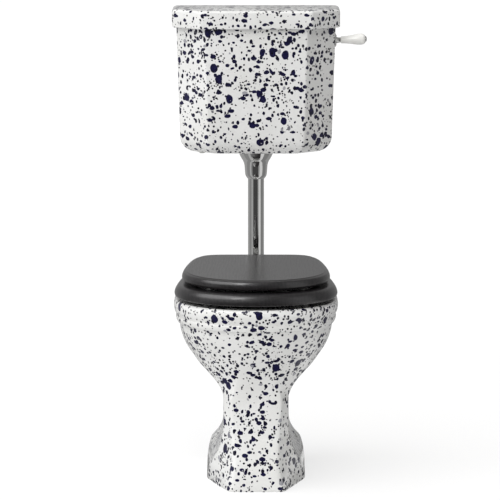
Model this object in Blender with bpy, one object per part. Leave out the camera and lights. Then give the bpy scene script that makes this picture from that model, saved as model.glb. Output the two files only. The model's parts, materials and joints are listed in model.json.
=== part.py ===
# A toilet: an eight-sided china pan with an oval bowl, a hinged dark seat and lid, a short
# chrome flush pipe and a cistern with a lift-off lid, a siphon, a float valve and a side lever.
# Metres, +Z up, +X to the viewer's right, +Y towards the wall.
# The origin lies on the floor at the middle of the rear rim of the pan's hollow foot.
import math

import bmesh
import bpy
from mathutils import Matrix, Vector

# Clearances and cuts
seat_gap = 0.0003
running_gap = 0.0004
overrun = 0.004

# Flush pipe, from the cistern's siphon to the elbow and the pan's horn
pipe_p = 0.100
pipe_radius = 0.019
pipe_wall = 0.0015
pipe_bend = 0.055
pipe_run = 0.002
tail_bore = pipe_radius + running_gap
tail_wall = 0.0026
tail_radius = tail_bore + tail_wall
cone_height = 0.008
cone_squeeze = 0.0002
cone_radius = tail_radius + cone_squeeze
back_nut_wall = 0.009
back_nut_radius = tail_radius + back_nut_wall
back_nut_thick = 0.010
shroud_flange = 0.012
shroud_top_radius = back_nut_radius + shroud_flange
flush_cone_back = pipe_p + pipe_bend + pipe_run
flush_cone_throat = 0.028
horn_play = 0.003
horn_bore = pipe_radius + horn_play
horn_wall = 0.010
horn_radius = horn_bore + horn_wall
flush_cone_sleeve = 0.005
flush_cone_radius = horn_radius + flush_cone_sleeve
flush_cone_step = 0.0075
flush_cone_neck = flush_cone_radius - flush_cone_step

# Pan: distances from the wall follow from the pipe's elbow
rim_height = 0.421
pan_half = 0.1853
pan_length = 0.440
horn_back = flush_cone_back + flush_cone_throat
flush_cone_overlap = 0.013
flush_cone_front = horn_back + flush_cone_overlap
pipe_insert = 0.047
pipe_end = horn_back + pipe_insert
horn_stub = 0.015
deck_back = horn_back + horn_stub
deck_overhang = 0.045
foot_back = deck_back + deck_overhang
pan_front = foot_back + pan_length
foot_wall = 0.012
foot_hollow = 0.085
bowl_wall = 0.035
rim_breadth = 0.0503
bowl_half = pan_half - rim_breadth
bowl_reach = 0.150
bowl_centre = pan_front - bowl_wall - bowl_reach
skirt_thick = 0.009
rim_depth = 0.036
skirt_bottom = rim_height - rim_depth
rim_roof = 0.013
channel_roof = rim_height - rim_roof
deck_share = 0.943
deck_underside = rim_height * deck_share
horn_drop = 0.043
horn_height = rim_height - horn_drop
outlet_height = 0.1865
outlet_radius = 0.0525
spigot_length = 0.055
outlet_back = foot_back - spigot_length
trap_radius = 0.027
trap_bend = 0.042
trap_leg = 0.047
trap_exit = 0.048
foot_screw_share = 0.4857
foot_screw_x = pan_half * foot_screw_share
foot_screw_inset = 0.085
foot_screw_p = foot_back + foot_screw_inset
foot_boss_radius = 0.013
cap_radius = 0.0097
cap_height = 0.012
cap_base = 0.054
cap_well_top = 0.130
foot_screw_radius = 0.004
foot_screw_head = 0.008
foot_screw_seat = 0.026

# Seat: the ring stands on buffers, the lid on the ring, and the hinge rod lies level with both
ring_stand = 0.008
ring_bottom = rim_height + ring_stand
ring_thick = 0.028
ring_side_margin = 0.0013
ring_half = pan_half - ring_side_margin
lid_stand = 0.006
lid_bottom = ring_bottom + ring_thick + lid_stand
lid_thick = 0.022
lid_side_margin = 0.017
lid_half = ring_half - lid_side_margin
lid_edge_inset = 0.011
hinge_x = 0.0775
hinge_setback = 0.050
hinge_p = deck_back + hinge_setback
hinge_rod_radius = 0.0042
strap_thick = 0.003
strap_width = 0.024
strap_reach = 0.070
ring_strap_x = 0.045
lid_strap_x = 0.018
knuckle_wall = 0.0046
ring_knuckle = hinge_rod_radius + knuckle_wall
hinge_axis_height = ring_bottom + ring_thick + seat_gap + strap_thick - ring_knuckle
lid_knuckle = lid_bottom - seat_gap - hinge_axis_height
pillar_wall = 0.0058
pillar_radius = hinge_rod_radius + pillar_wall
pillar_width = 0.018
pillar_flange = 0.006
pillar_foot_radius = pillar_radius + pillar_flange
pillar_foot_thick = 0.005
rod_overhang = 0.007
hinge_rod_half = hinge_x + pillar_width / 2 + rod_overhang
rod_nut_wall = 0.0028
rod_nut_radius = hinge_rod_radius + rod_nut_wall
rod_nut_length = 0.006
knuckle_play = 0.0008
ring_rear = hinge_p + lid_knuckle + knuckle_play
ring_front_margin = 0.002
ring_front = pan_front - ring_front_margin
ring_side_breadth = 0.066
ring_hole_half = ring_half - ring_side_breadth
ring_front_breadth = 0.051
ring_hole_front = ring_front - ring_front_breadth
ring_rear_breadth = 0.110
ring_hole_rear = ring_rear + ring_rear_breadth
lid_rear_margin = 0.002
lid_rear = hinge_p + lid_rear_margin
lid_front_margin = 0.016
lid_front = ring_front - lid_front_margin
seat_bolt_radius = 0.004
seat_bolt_drop = 0.033
seat_bolt_bottom = deck_underside - seat_bolt_drop
seat_bolt_play = 0.002
deck_hole_radius = seat_bolt_radius + seat_bolt_play
seat_washer_margin = 0.007
seat_washer_radius = deck_hole_radius + seat_washer_margin
seat_washer_thick = 0.003
wing_hub_wall = 0.004
wing_hub_radius = seat_bolt_radius + wing_hub_wall
wing_hub_length = 0.010
wing_reach = 0.011
wing_span = wing_hub_radius + wing_reach
wing_height = 0.012
wing_thick = 0.003
buffer_radius = 0.009

# Cistern
cistern_bottom = 0.710
cistern_height = 0.320
cistern_top = cistern_bottom + cistern_height
cistern_half_top = 0.1875
side_taper = 0.010
cistern_half_bottom = cistern_half_top - side_taper
cistern_front_top = 0.192
front_taper = 0.006
cistern_front_bottom = cistern_front_top - front_taper
chamfer_wide = 0.0665
chamfer_deep = 0.064
china_wall = 0.009
china_floor = 0.012
side_round = 0.034
corner_round = 0.007
lid_skirt_drop = 0.0263
lid_skirt_bottom = cistern_top - lid_skirt_drop
lid_top_thick = 0.0165
lid_top_edge = cistern_top + lid_top_thick
lid_crown = 0.003
lid_skirt_thick = 0.0075
lid_rim_gap = 0.002
lid_edge_round = 0.006

# Heights of the pipe's joints under the cistern's floor
tail_drop = 0.050
tail_bottom = cistern_bottom - tail_drop
pipe_in_tail = 0.030
pipe_top = tail_bottom + pipe_in_tail
shroud_overlap = 0.0165
shroud_bottom = tail_bottom - shroud_overlap

# Flush lever through the right side wall
lever_drop = 0.0595
lever_height = cistern_top - lever_drop
lever_p = pipe_p
lever_ball = 0.0104
lever_rise = math.radians(2.3)
bush_bore = lever_ball + running_gap
bush_wall = 0.0032
bush_outer = bush_bore + bush_wall
bush_flange_breadth = 0.0025
bush_flange = bush_outer + bush_flange_breadth
bush_lip_wall = 0.0014
bush_lip = bush_bore + bush_lip_wall
bush_flange_thick = 0.0035
bush_inside = 0.013
bush_nut_wall = 0.0045
bush_nut_radius = bush_outer + bush_nut_wall
bush_nut_thick = 0.005
wall_hole = bush_outer + seat_gap
neck_radius = 0.006
neck_step = 0.0006
neck_flare = lever_ball - neck_step
grip_start = 0.018
grip_length = 0.059
grip_root = 0.0082
grip_belly = 0.01325
spindle_radius = 0.004
end_cap_radius = 0.0070
end_cap_height = 0.0035

# Siphon and lift rod
chamber_x = 0.078
chamber_radius = 0.038
chamber_wall = 0.003
chamber_lift = 0.027
chamber_bottom = cistern_bottom + chamber_lift
arch_radius = chamber_x / 2
arch_drop = 0.1085
arch_height = lever_height - arch_drop
chamber_dome = 0.006
chamber_top = arch_height + chamber_dome
siphon_flange_breadth = 0.014
siphon_flange_radius = tail_radius + siphon_flange_breadth
siphon_flange_thick = 0.005
siphon_washer_thick = 0.003
siphon_play = 0.0015
siphon_hole = tail_radius + siphon_play
plate_lift = 0.035
plate_height = chamber_bottom + plate_lift
plate_thick = 0.003
diaphragm_thick = 0.0015
rod_radius = 0.002
stirrup_half = 0.012
stirrup_tall = 0.030
stirrup_thick = 0.003
stirrup_bar = 0.004
inner_arm_radius = 0.0035
arm_overreach = 0.0025
inner_arm_length = cistern_half_top - chamber_x + arm_overreach

# Fill valve and float
valve_inset = 0.0495
valve_x = valve_inset - cistern_half_bottom
valve_p = 0.048
valve_tail_radius = 0.007
valve_tail_drop = 0.0125
valve_tail_bottom = cistern_bottom - valve_tail_drop
valve_play = 0.001
valve_hole = valve_tail_radius + valve_play
valve_flange_radius = 0.015
valve_flange_thick = 0.005
valve_washer_thick = 0.003
valve_nut_wall = 0.0065
valve_nut_radius = valve_tail_radius + valve_nut_wall
valve_nut_thick = 0.009
riser_radius = 0.0085
riser_drop = 0.118
riser_top = cistern_top - riser_drop
head_radius = 0.016
head_height = 0.036
ear_thick = 0.004
ear_overreach = 0.014
ear_reach = head_radius + ear_overreach
ear_height = 0.014
knuckle_radius = 0.005
knuckle_width = 0.010
float_pivot_x = valve_x + ear_reach - knuckle_radius
float_pivot_lift = 0.024
float_pivot_height = riser_top + float_pivot_lift
pin_radius = 0.0015
float_arm_radius = 0.002
float_arm_length = 0.054
float_radius = 0.030

# Colours as seen: white glaze, near-black wood, bright chrome, rubber, bronze and plastic
china_look = ((0.80, 0.80, 0.80, 1.0), 0.12, 0.0)
wood_look = ((0.035, 0.034, 0.036, 1.0), 0.35, 0.0)
chrome_look = ((0.78, 0.79, 0.80, 1.0), 0.08, 1.0)
rubber_look = ((0.03, 0.03, 0.03, 1.0), 0.65, 0.0)
plastic_look = ((0.62, 0.62, 0.60, 1.0), 0.40, 0.0)
brass_look = ((0.72, 0.52, 0.22, 1.0), 0.30, 1.0)
float_look = ((0.55, 0.10, 0.06, 1.0), 0.45, 0.0)

# The distance from the origin to the wall plane; every p is a distance in front of the wall
wall_y = foot_back + foot_wall / 2
both_hands = ((-1, "left"), (1, "right"))


def clear_scene():
    for item in list(bpy.data.objects):
        bpy.data.objects.remove(item, do_unlink=True)


def spot(x, p, z):
    # A point given by its distance p in front of the wall
    return Vector((x, wall_y - p, z))


def finish_mesh(name, bm):
    bmesh.ops.recalc_face_normals(bm, faces=bm.faces)
    mesh = bpy.data.meshes.new(name)
    bm.to_mesh(mesh)
    bm.free()
    return mesh


def loft(name, rings, ring_shaped=False):
    # Quads from ring to ring; the two ends are capped, or joined where the loft is a closed hoop
    bm = bmesh.new()
    rows = [[bm.verts.new(point) for point in ring] for ring in rings]
    count = len(rows[0])
    pairs = list(zip(rows[:-1], rows[1:]))
    if ring_shaped:
        pairs.append((rows[-1], rows[0]))
    for low, high in pairs:
        for k in range(count):
            j = (k + 1) % count
            bm.faces.new((low[k], low[j], high[j], high[k]))
    if not ring_shaped:
        bm.faces.new(list(reversed(rows[0])))
        bm.faces.new(rows[-1])
    return finish_mesh(name, bm)


def turned(name, profile, sides, ring_shaped=False):
    # Revolves (radius, height) pairs about Z, capped at both ends or closed into a hoop
    angles = [math.tau * k / sides for k in range(sides)]
    rings = [[(r * math.cos(a), r * math.sin(a), h) for a in angles] for r, h in profile]
    return loft(name, rings, ring_shaped)


def aimed(mesh, centre, direction):
    # Turns a shape made along +Z to a direction and moves its foot to a point
    turn = Vector(direction).to_track_quat("Z", "Y").to_matrix().to_4x4()
    mesh.transform(Matrix.Translation(centre) @ turn)
    return mesh


def tube(name, points, radius, sides, across):
    # Circles square to a path that stays in the plane whose normal is across
    path = [Vector(point) for point in points]
    binormal = Vector(across).normalized()
    rings = []
    for i, point in enumerate(path):
        ahead = path[min(i + 1, len(path) - 1)] - path[max(i - 1, 0)]
        normal = binormal.cross(ahead.normalized())
        rings.append([point + radius * (math.cos(math.tau * k / sides) * normal
                                        + math.sin(math.tau * k / sides) * binormal)
                      for k in range(sides)])
    return loft(name, rings)


def slab(name, low, high):
    # A rectangular block between two corners
    bm = bmesh.new()
    bmesh.ops.create_cube(bm, size=1)
    size = Vector(high) - Vector(low)
    middle = (Vector(high) + Vector(low)) / 2
    bmesh.ops.transform(bm, matrix=Matrix.Translation(middle) @ Matrix.Diagonal(size).to_4x4(),
                        verts=bm.verts)
    return finish_mesh(name, bm)


def prism(name, outline, depth):
    # A flat outline in X and Y, given depth along +Z
    rings = [[(x, y, z) for x, y in outline] for z in (0, depth)]
    return loft(name, rings)


def joined(name, meshes):
    bm = bmesh.new()
    for mesh in meshes:
        bm.from_mesh(mesh)
        bpy.data.meshes.remove(mesh)
    mesh = bpy.data.meshes.new(name)
    bm.to_mesh(mesh)
    bm.free()
    return mesh


def arc(centre, radius, start, stop, steps):
    # Points (u, v) along an arc, angles in degrees
    turns = [math.radians(start + (stop - start) * k / steps) for k in range(steps + 1)]
    return [(centre[0] + radius * math.cos(a), centre[1] + radius * math.sin(a)) for a in turns]


def material(name, look):
    made = bpy.data.materials.new(name)
    made.use_nodes = True
    shader = made.node_tree.nodes["Principled BSDF"]
    shader.inputs["Base Color"].default_value = look[0]
    shader.inputs["Roughness"].default_value = look[1]
    shader.inputs["Metallic"].default_value = look[2]
    made.diffuse_color = look[0]
    return made


def helper(name, mesh):
    # A shape that only cuts or joins another
    guide = bpy.data.objects.new(name, mesh)
    bpy.context.scene.collection.objects.link(guide)
    guide.hide_render = True
    guide.display_type = "WIRE"
    return guide


def piece(name, mesh, look, carrier=None):
    # One sub-part; a moving one hangs from the empty on its joint's axis
    made = bpy.data.objects.new(name, mesh)
    bpy.context.scene.collection.objects.link(made)
    mesh.materials.append(material(name, look))
    mesh.shade_smooth()
    mesh.set_sharp_from_angle(angle=math.radians(32))
    if carrier is not None:
        place = carrier.matrix_world.translation.copy()
        mesh.transform(Matrix.Translation(-place))
        made.parent = carrier
    return made


def pivot(name, point, carrier=None):
    empty = bpy.data.objects.new(name, None)
    bpy.context.scene.collection.objects.link(empty)
    empty.location = point
    if carrier is not None:
        empty.parent = carrier
        empty.location = Vector(point) - carrier.matrix_world.translation
    bpy.context.view_layer.update()
    return empty


def shape_with(target, shape, operation, name):
    # Cuts or joins with a mesh, or with a helper object that several pieces share
    step = target.modifiers.new(name, "BOOLEAN")
    step.operation = operation
    step.solver = "EXACT"
    step.object = shape if isinstance(shape, bpy.types.Object) else helper(name, shape)


def flat_nut(name, corners, radius, low, top, hole, centre, direction):
    # A many-sided nut between two heights, with a round thread through it
    blank = turned(name, [(radius, low), (radius, top)], corners)
    nut = piece(name, aimed(blank, centre, direction), plastic_look)
    thread = turned("thread", [(hole, low - overrun), (hole, top + overrun)], 24)
    shape_with(nut, aimed(thread, centre, direction), "DIFFERENCE", "thread")


def oval(half, front, rear, widest, front_power, rear_power, turns):
    # Half of an egg outline from the front to the rear; turns run from 0 to half a turn
    points = []
    for a in turns:
        ahead = math.cos(a)
        power = front_power if ahead > 0 else rear_power
        reach = front - widest if ahead > 0 else widest - rear
        x = half * abs(math.sin(a)) ** (2 / power)
        p = widest + math.copysign(reach * abs(ahead) ** (2 / power), ahead)
        points.append((x, p))
    return points


def both_sides(half_points, z):
    # Mirrors a half outline from front to rear into one full ring at height z
    right = [spot(x, p, z) for x, p in half_points]
    left = [spot(-x, p, z) for x, p in reversed(half_points[1:-1])]
    return right + left


# Pan outline: each level is a blend of an oval bowl and a chamfered column.
# Shares: height of rim_height; width, flat and corner of pan_half; front, rear and chamfer of
# the pan's depth in front of its foot; the fifth is how much of the level is the column.
pan_level_shares = (
    (0.000, 0.613, 0.8636, 0.000, 1.00, 0.335, 0.600, 0.330),
    (0.010, 0.614, 0.8664, 0.000, 1.00, 0.332, 0.602, 0.325),
    (0.069, 0.600, 0.8600, 0.000, 1.00, 0.300, 0.585, 0.270),
    (0.133, 0.563, 0.8480, 0.000, 1.00, 0.275, 0.530, 0.200),
    (0.178, 0.478, 0.8360, 0.000, 1.00, 0.265, 0.484, 0.150),
    (0.223, 0.424, 0.8250, 0.000, 1.00, 0.267, 0.443, 0.120),
    (0.245, 0.413, 0.8205, 0.000, 1.00, 0.270, 0.432, 0.108),
    (0.266, 0.410, 0.8160, 0.000, 1.00, 0.273, 0.421, 0.098),
    (0.287, 0.408, 0.8110, 0.000, 1.00, 0.277, 0.410, 0.090),
    (0.311, 0.406, 0.8090, 0.000, 1.00, 0.281, 0.405, 0.083),
    (0.354, 0.402, 0.8070, 0.000, 1.00, 0.287, 0.399, 0.075),
    (0.487, 0.398, 0.8020, 0.000, 1.00, 0.303, 0.396, 0.068),
    (0.530, 0.434, 0.8070, 0.000, 0.80, 0.303, 0.432, 0.070),
    (0.572, 0.502, 0.8200, 0.000, 0.55, 0.303, 0.500, 0.072),
    (0.618, 0.604, 0.8390, 0.000, 0.30, 0.303, 0.600, 0.075),
    (0.660, 0.697, 0.8610, 0.000, 0.12, 0.303, 0.690, 0.080),
    (0.705, 0.770, 0.8860, 0.000, 0.03, 0.303, 0.765, 0.080),
    (0.748, 0.837, 0.9090, 0.148, 0.00, 0.303, 0.830, 0.080),
    (0.793, 0.886, 0.9320, 0.148, 0.00, 0.303, 0.880, 0.080),
    (0.836, 0.916, 0.9510, 0.148, 0.00, 0.303, 0.910, 0.080),
    (0.878, 0.938, 0.9680, 0.148, 0.00, 0.303, 0.930, 0.080),
    (0.881, 0.953, 0.9750, 0.148, 0.00, 0.303, 0.950, 0.080),
    (0.912, 0.975, 0.9850, 0.148, 0.00, 0.303, 0.970, 0.080),
    (0.915, 0.969, 0.9820, 0.148, 0.00, 0.303, 0.960, 0.080),
    (deck_share, 0.992, 0.9930, 0.148, 0.00, 0.303, 0.980, 0.080),
)
pan_rim_shares = (
    (deck_share, 0.992, 0.9930),
    (0.969, 1.000, 1.0000),
    (0.988, 0.996, 0.9980),
    (1.000, 0.971, 0.9875),
)
oval_turn_shares = (0, .045, .10, .165, .235, .31, .385, .45, .515, .58, .645, .715, .79, .855,
                    .905, .955, 1)
pan_turns = [math.pi * share for share in oval_turn_shares]
pan_depth = pan_front - foot_back


def column_half(half, front, rear, flat, corner, chamfer, edge):
    # Half of the chamfered column: a flat front, a chamfer, a widening side and a flat rear
    ends = [(0, front), (flat, front), (corner, front - chamfer), (half, rear + edge),
            (half - edge, rear), (0, rear)]
    points = []
    for (a, b), steps in zip(zip(ends[:-1], ends[1:]), (2, 4, 6, 1, 3)):
        for k in range(steps):
            points.append((a[0] + (b[0] - a[0]) * k / steps, a[1] + (b[1] - a[1]) * k / steps))
    points.append(ends[-1])
    return points


def pan_level(shares, inset):
    height, width, front, rear, column, flat, corner, chamfer = shares
    half = pan_half * width - inset
    ahead = foot_back + pan_depth * front - inset
    behind = foot_back + pan_depth * rear + inset
    egg = oval(half, ahead, behind, bowl_centre, 2.1, 3.0, pan_turns)
    block = column_half(half, ahead, behind, pan_half * flat - inset / 2,
                        pan_half * corner - inset, pan_depth * chamfer, foot_wall)
    mixed = [(a[0] + (b[0] - a[0]) * column, a[1] + (b[1] - a[1]) * column)
             for a, b in zip(egg, block)]
    return both_sides(mixed, rim_height * height)


def deck_level(shares):
    height, width, front = shares
    egg = oval(pan_half * width, foot_back + pan_depth * front, deck_back, bowl_centre, 2.1, 3.0,
               pan_turns)
    return both_sides(egg, rim_height * height)


def ring_level(half, reach, centre, z, sides):
    # A full ellipse about a point on the middle plane
    angles = [math.tau * k / sides for k in range(sides)]
    return [spot(half * math.sin(a), centre + reach * math.cos(a), z) for a in angles]


def pan():
    # One casting: bowl with a boxed rim and a hanging skirt, trapway, column and hollow foot
    levels = [pan_level(shares, 0) for shares in pan_level_shares]
    levels += [deck_level(shares) for shares in pan_rim_shares]
    body = piece("pan", loft("pan", levels), china_look)

    hollow_shares = [row for row in pan_level_shares if row[0] * rim_height < foot_hollow]
    hollow = [pan_level(row, foot_wall) for row in hollow_shares]
    first = [point - Vector((0, 0, overrun)) for point in hollow[0]]
    last = [Vector((point.x, point.y, foot_hollow)) for point in hollow[-1]]
    foot_space = helper("foot_hollow", loft("foot_hollow", [first] + hollow + [last]))
    # The china left round each floor screw is a boss from the floor to the hollow's roof
    bosses = [aimed(turned("boss", [(foot_boss_radius, -2 * overrun),
                                    (foot_boss_radius, foot_hollow + overrun)], 16),
                    spot(side * foot_screw_x, foot_screw_p, 0), (0, 0, 1)) for side in (-1, 1)]
    shape_with(foot_space, joined("bosses", bosses), "DIFFERENCE", "bosses")
    shape_with(body, foot_space, "DIFFERENCE", "foot_hollow")

    spigot = aimed(turned("spigot", [(outlet_radius, 0), (outlet_radius, foot_back - outlet_back
                                                          + foot_wall)], 28),
                   spot(0, outlet_back, outlet_height), (0, -1, 0))
    horn_deep = bowl_centre - bowl_reach - horn_back - foot_wall
    horn = aimed(turned("horn", [(horn_radius, 0), (horn_radius, horn_deep)], 28),
                 spot(0, horn_back, horn_height), (0, -1, 0))
    shape_with(body, spigot, "UNION", "spigot")
    shape_with(body, horn, "UNION", "horn")

    # The void goes down inside the skirt, up into the rim channel and down the bowl to the sump
    channel_half = pan_half - 2 * skirt_thick
    channel_reach = pan_front - bowl_centre - china_wall - foot_wall / 2
    skirt_half = bowl_half + skirt_thick
    skirt_reach = bowl_reach + skirt_thick
    low_shares = ((0.836, 0.930, 0.930, 0.000), (0.748, 0.835, 0.855, 0.055),
                  (0.660, 0.645, 0.720, 0.080), (0.594, 0.470, 0.560, 0.125),
                  (0.523, 0.350, 0.430, 0.170), (0.428, 0.275, 0.335, 0.200),
                  (0.333, 0.205, 0.245, 0.225), (0.304, 0.125, 0.150, 0.230))
    sides = 28
    void = [ring_level(bowl_half, bowl_reach, bowl_centre, rim_height + overrun, sides),
            ring_level(bowl_half, bowl_reach, bowl_centre, skirt_bottom, sides),
            ring_level(skirt_half, skirt_reach, bowl_centre, skirt_bottom, sides),
            ring_level(skirt_half, skirt_reach, bowl_centre, channel_roof, sides),
            ring_level(channel_half, channel_reach, bowl_centre, channel_roof, sides),
            ring_level(channel_half, channel_reach, bowl_centre, rim_height * 0.89, sides)]
    for height, half, reach, back in low_shares:
        void.append(ring_level(channel_half * half, channel_reach * reach,
                               bowl_centre - channel_reach * back, rim_height * height, sides))
    shape_with(body, loft("bowl_void", void), "DIFFERENCE", "bowl_void")

    # The trapway dips under the water seal, climbs over the weir and turns down to the spigot
    slope = math.radians(20)
    reach, drop = trap_bend * math.cos(slope), trap_bend * math.sin(slope)
    hump_p = foot_back + foot_wall + trap_radius + reach
    hump_z = outlet_height + trap_exit * (1 - math.sin(slope)) - drop
    dip_p = hump_p + 2 * reach + trap_leg * math.sin(slope)
    dip_z = hump_z + 2 * drop - trap_leg * math.cos(slope)
    fall = arc((dip_p, dip_z), trap_bend, -20, -160, 5)
    rise = arc((hump_p, hump_z), trap_bend, 20, 160, 5)
    turn_p = rise[-1][0] - trap_exit * math.cos(slope)
    turn_z = rise[-1][1] + trap_exit * math.sin(slope)
    leave = arc((turn_p, turn_z), trap_exit, -20, -90, 3)[1:]
    route = fall + rise + leave + [(outlet_back - overrun, leave[-1][1])]
    shape_with(body, tube("trapway", [spot(0, p, z) for p, z in route], trap_radius, 12, (1, 0, 0)),
               "DIFFERENCE", "trapway")

    bore_deep = bowl_centre - skirt_reach - horn_back + overrun - skirt_thick / 2
    bores = [aimed(turned("inlet", [(horn_bore, 0), (horn_bore, bore_deep)], 24),
                   spot(0, horn_back - overrun, horn_height), (0, -1, 0))]
    for side in (-1, 1):
        bores.append(aimed(turned("bolt_hole", [(deck_hole_radius, deck_underside - overrun),
                                                (deck_hole_radius, rim_height + overrun)], 16),
                           spot(side * hinge_x, hinge_p, 0), (0, 0, 1)))
        screw = [(foot_screw_radius + seat_gap * 2, -overrun),
                 (foot_screw_radius + seat_gap * 2, foot_screw_seat),
                 (cap_radius + seat_gap, foot_screw_seat),
                 (cap_radius + seat_gap, cap_well_top)]
        bores.append(aimed(turned("screw_hole", screw, 16),
                           spot(side * foot_screw_x, foot_screw_p, 0), (0, 0, 1)))
    shape_with(body, joined("bores", bores), "DIFFERENCE", "bores")


def pan_fixings():
    for side, label in both_hands:
        foot = spot(side * foot_screw_x, foot_screw_p, 0)
        top = foot_screw_seat + seat_gap
        profile = [(foot_screw_radius * 0.6, seat_gap * 5), (foot_screw_radius, foot_screw_radius),
                   (foot_screw_radius, top), (foot_screw_head, top),
                   (foot_screw_head, top + foot_screw_head / 2),
                   (foot_screw_head / 2, top + foot_screw_head * 0.75)]
        piece("floor_screw_" + label, aimed(turned("floor_screw", profile, 12), foot, (0, 0, 1)),
              brass_look)
        dome = [(cap_radius * 0.97, cap_base), (cap_radius, cap_base + cap_height * 0.1),
                (cap_radius, cap_base + cap_height * 0.6),
                (cap_radius * 0.8, cap_base + cap_height * 0.9),
                (cap_radius * 0.4, cap_base + cap_height)]
        piece("screw_cap_" + label, aimed(turned("screw_cap", dome, 16), foot, (0, 0, 1)),
              china_look)


# The seat's widest line as a share of its length, and how far behind it each point lies as a
# share of the way to the rear edge
seat_widest_share = 0.60
seat_side_shares = (.2, .4, .57, .72, .84, .92, .965, .99, 1)
seat_front_power = 2.12
# Power of the rear corners and share of the width that the sides lose towards them
squared_corners = (8, 0.17)
round_corners = (3.1, 0)


def seat_outline(half, front, rear, corner_power, taper_share):
    # Half of an egg whose sides draw in towards squarer rear corners and a straight rear edge
    widest = rear + (front - rear) * seat_widest_share
    quarter = [math.pi / 2 * k / 11 for k in range(12)]
    points = oval(half, front, rear, widest, seat_front_power, corner_power, quarter)
    for share in seat_side_shares:
        width = (1 - share ** corner_power) ** (1 / corner_power)
        points.append((half * width * (1 - taper_share * share ** 1.5),
                       widest + (rear - widest) * share))
    return points


def seat_parts(ring_axis, lid_axis):
    # Ring: a padded-looking wooden hoop; the profile rounds over from the hole to the rim
    ring_profile_shares = ((0.00, 0.10), (0.04, 0.00), (0.94, 0.00), (1.00, 0.20), (1.00, 0.58),
                    (0.93, 0.90), (0.78, 1.00), (0.25, 1.00), (0.05, 0.82))
    outer = seat_outline(ring_half, ring_front, ring_rear, *squared_corners)
    inner = seat_outline(ring_hole_half, ring_hole_front, ring_hole_rear, *round_corners)
    rings = []
    for across, up in ring_profile_shares:
        mixed = [(a[0] + (b[0] - a[0]) * across, a[1] + (b[1] - a[1]) * across)
                 for a, b in zip(inner, outer)]
        rings.append(both_sides(mixed, ring_bottom + ring_thick * up))
    piece("seat_ring", loft("seat_ring", rings, True), wood_look, ring_axis)

    # Lid: flat top with a crisp inset line, then a rolled edge
    lid_profile_shares = ((1.6, 0.00), (0.35, 0.00), (0.00, 0.22), (0.00, 0.55), (0.28, 0.86),
                   (0.92, 0.96), (1.00, 1.00), (1.6, 1.00))
    rings = []
    for inset, up in lid_profile_shares:
        step = lid_edge_inset * inset
        rings.append(both_sides(seat_outline(lid_half - step, lid_front - step, lid_rear + step,
                                             *squared_corners), lid_bottom + lid_thick * up))
    piece("seat_lid", loft("seat_lid", rings), wood_look, lid_axis)

    # Strap hinges: a knuckle round the rod with a flat leaf tangent to its top
    axis = spot(0, hinge_p, hinge_axis_height)
    rod_hole = hinge_rod_radius + seat_gap
    rod_bore = helper("rod_bore", aimed(turned("rod_bore", [(rod_hole, -hinge_rod_half * 1.2),
                                                            (rod_hole, hinge_rod_half * 1.2)], 16),
                                        axis, (1, 0, 0)))

    def strap(name, x, top, carrier):
        radius = top - hinge_axis_height
        low = radius - strap_thick
        stop = 360 + math.degrees(math.asin(low / radius))
        outline = [(strap_reach, radius)] + arc((0, 0), radius, 90, stop, 14)
        outline.append((strap_reach, low))
        for side, label in both_hands:
            plate = prism("leaf", outline, strap_width)
            frame = Matrix(((0, 0, 1), (-1, 0, 0), (0, 1, 0))).to_4x4()
            start = spot(side * x - strap_width / 2, hinge_p, hinge_axis_height)
            plate.transform(Matrix.Translation(start) @ frame)
            leaf = piece(name + label, plate, chrome_look, carrier)
            shape_with(leaf, rod_bore, "DIFFERENCE", "rod_bore")

    strap("ring_hinge_", ring_strap_x, ring_bottom + ring_thick + seat_gap + strap_thick, ring_axis)
    strap("lid_hinge_", lid_strap_x, lid_bottom - seat_gap, lid_axis)

    rod = turned("hinge_rod", [(hinge_rod_radius, -hinge_rod_half),
                               (hinge_rod_radius, hinge_rod_half)], 16)
    piece("hinge_rod", aimed(rod, axis, (1, 0, 0)), chrome_look)

    for side, label in both_hands:
        hinge_pillar(side, label, rod_bore)

    # Buffers under the ring stand on the rim; those under the lid stand on the ring
    def buffers(name, half, front, rear, at, top, bottom, carrier):
        line = seat_outline(half, front, rear, *round_corners)
        for k, place in at:
            x, p = line[k]
            for side, label in both_hands:
                pad = turned("buffer", [(buffer_radius * 0.8, bottom),
                                        (buffer_radius, bottom + (top - bottom) / 3),
                                        (buffer_radius, top)], 12)
                piece(name + place + label, aimed(pad, spot(side * x, p, 0), (0, 0, 1)),
                      rubber_look, carrier)

    rim_mid = (bowl_half + pan_half) / 2
    buffers("ring_buffer_", rim_mid, (bowl_centre + bowl_reach + pan_front) / 2,
            ring_rear + strap_reach / 2, ((5, "front_"), (16, "rear_")), ring_bottom - seat_gap,
            rim_height + seat_gap, ring_axis)
    lid_line = (ring_hole_half + ring_half) / 2
    buffers("lid_buffer_", lid_line, (ring_hole_front + lid_front) / 2, ring_rear + strap_reach,
            ((5, "front_"), (15, "rear_")), lid_bottom - seat_gap,
            ring_bottom + ring_thick + seat_gap, lid_axis)


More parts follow.
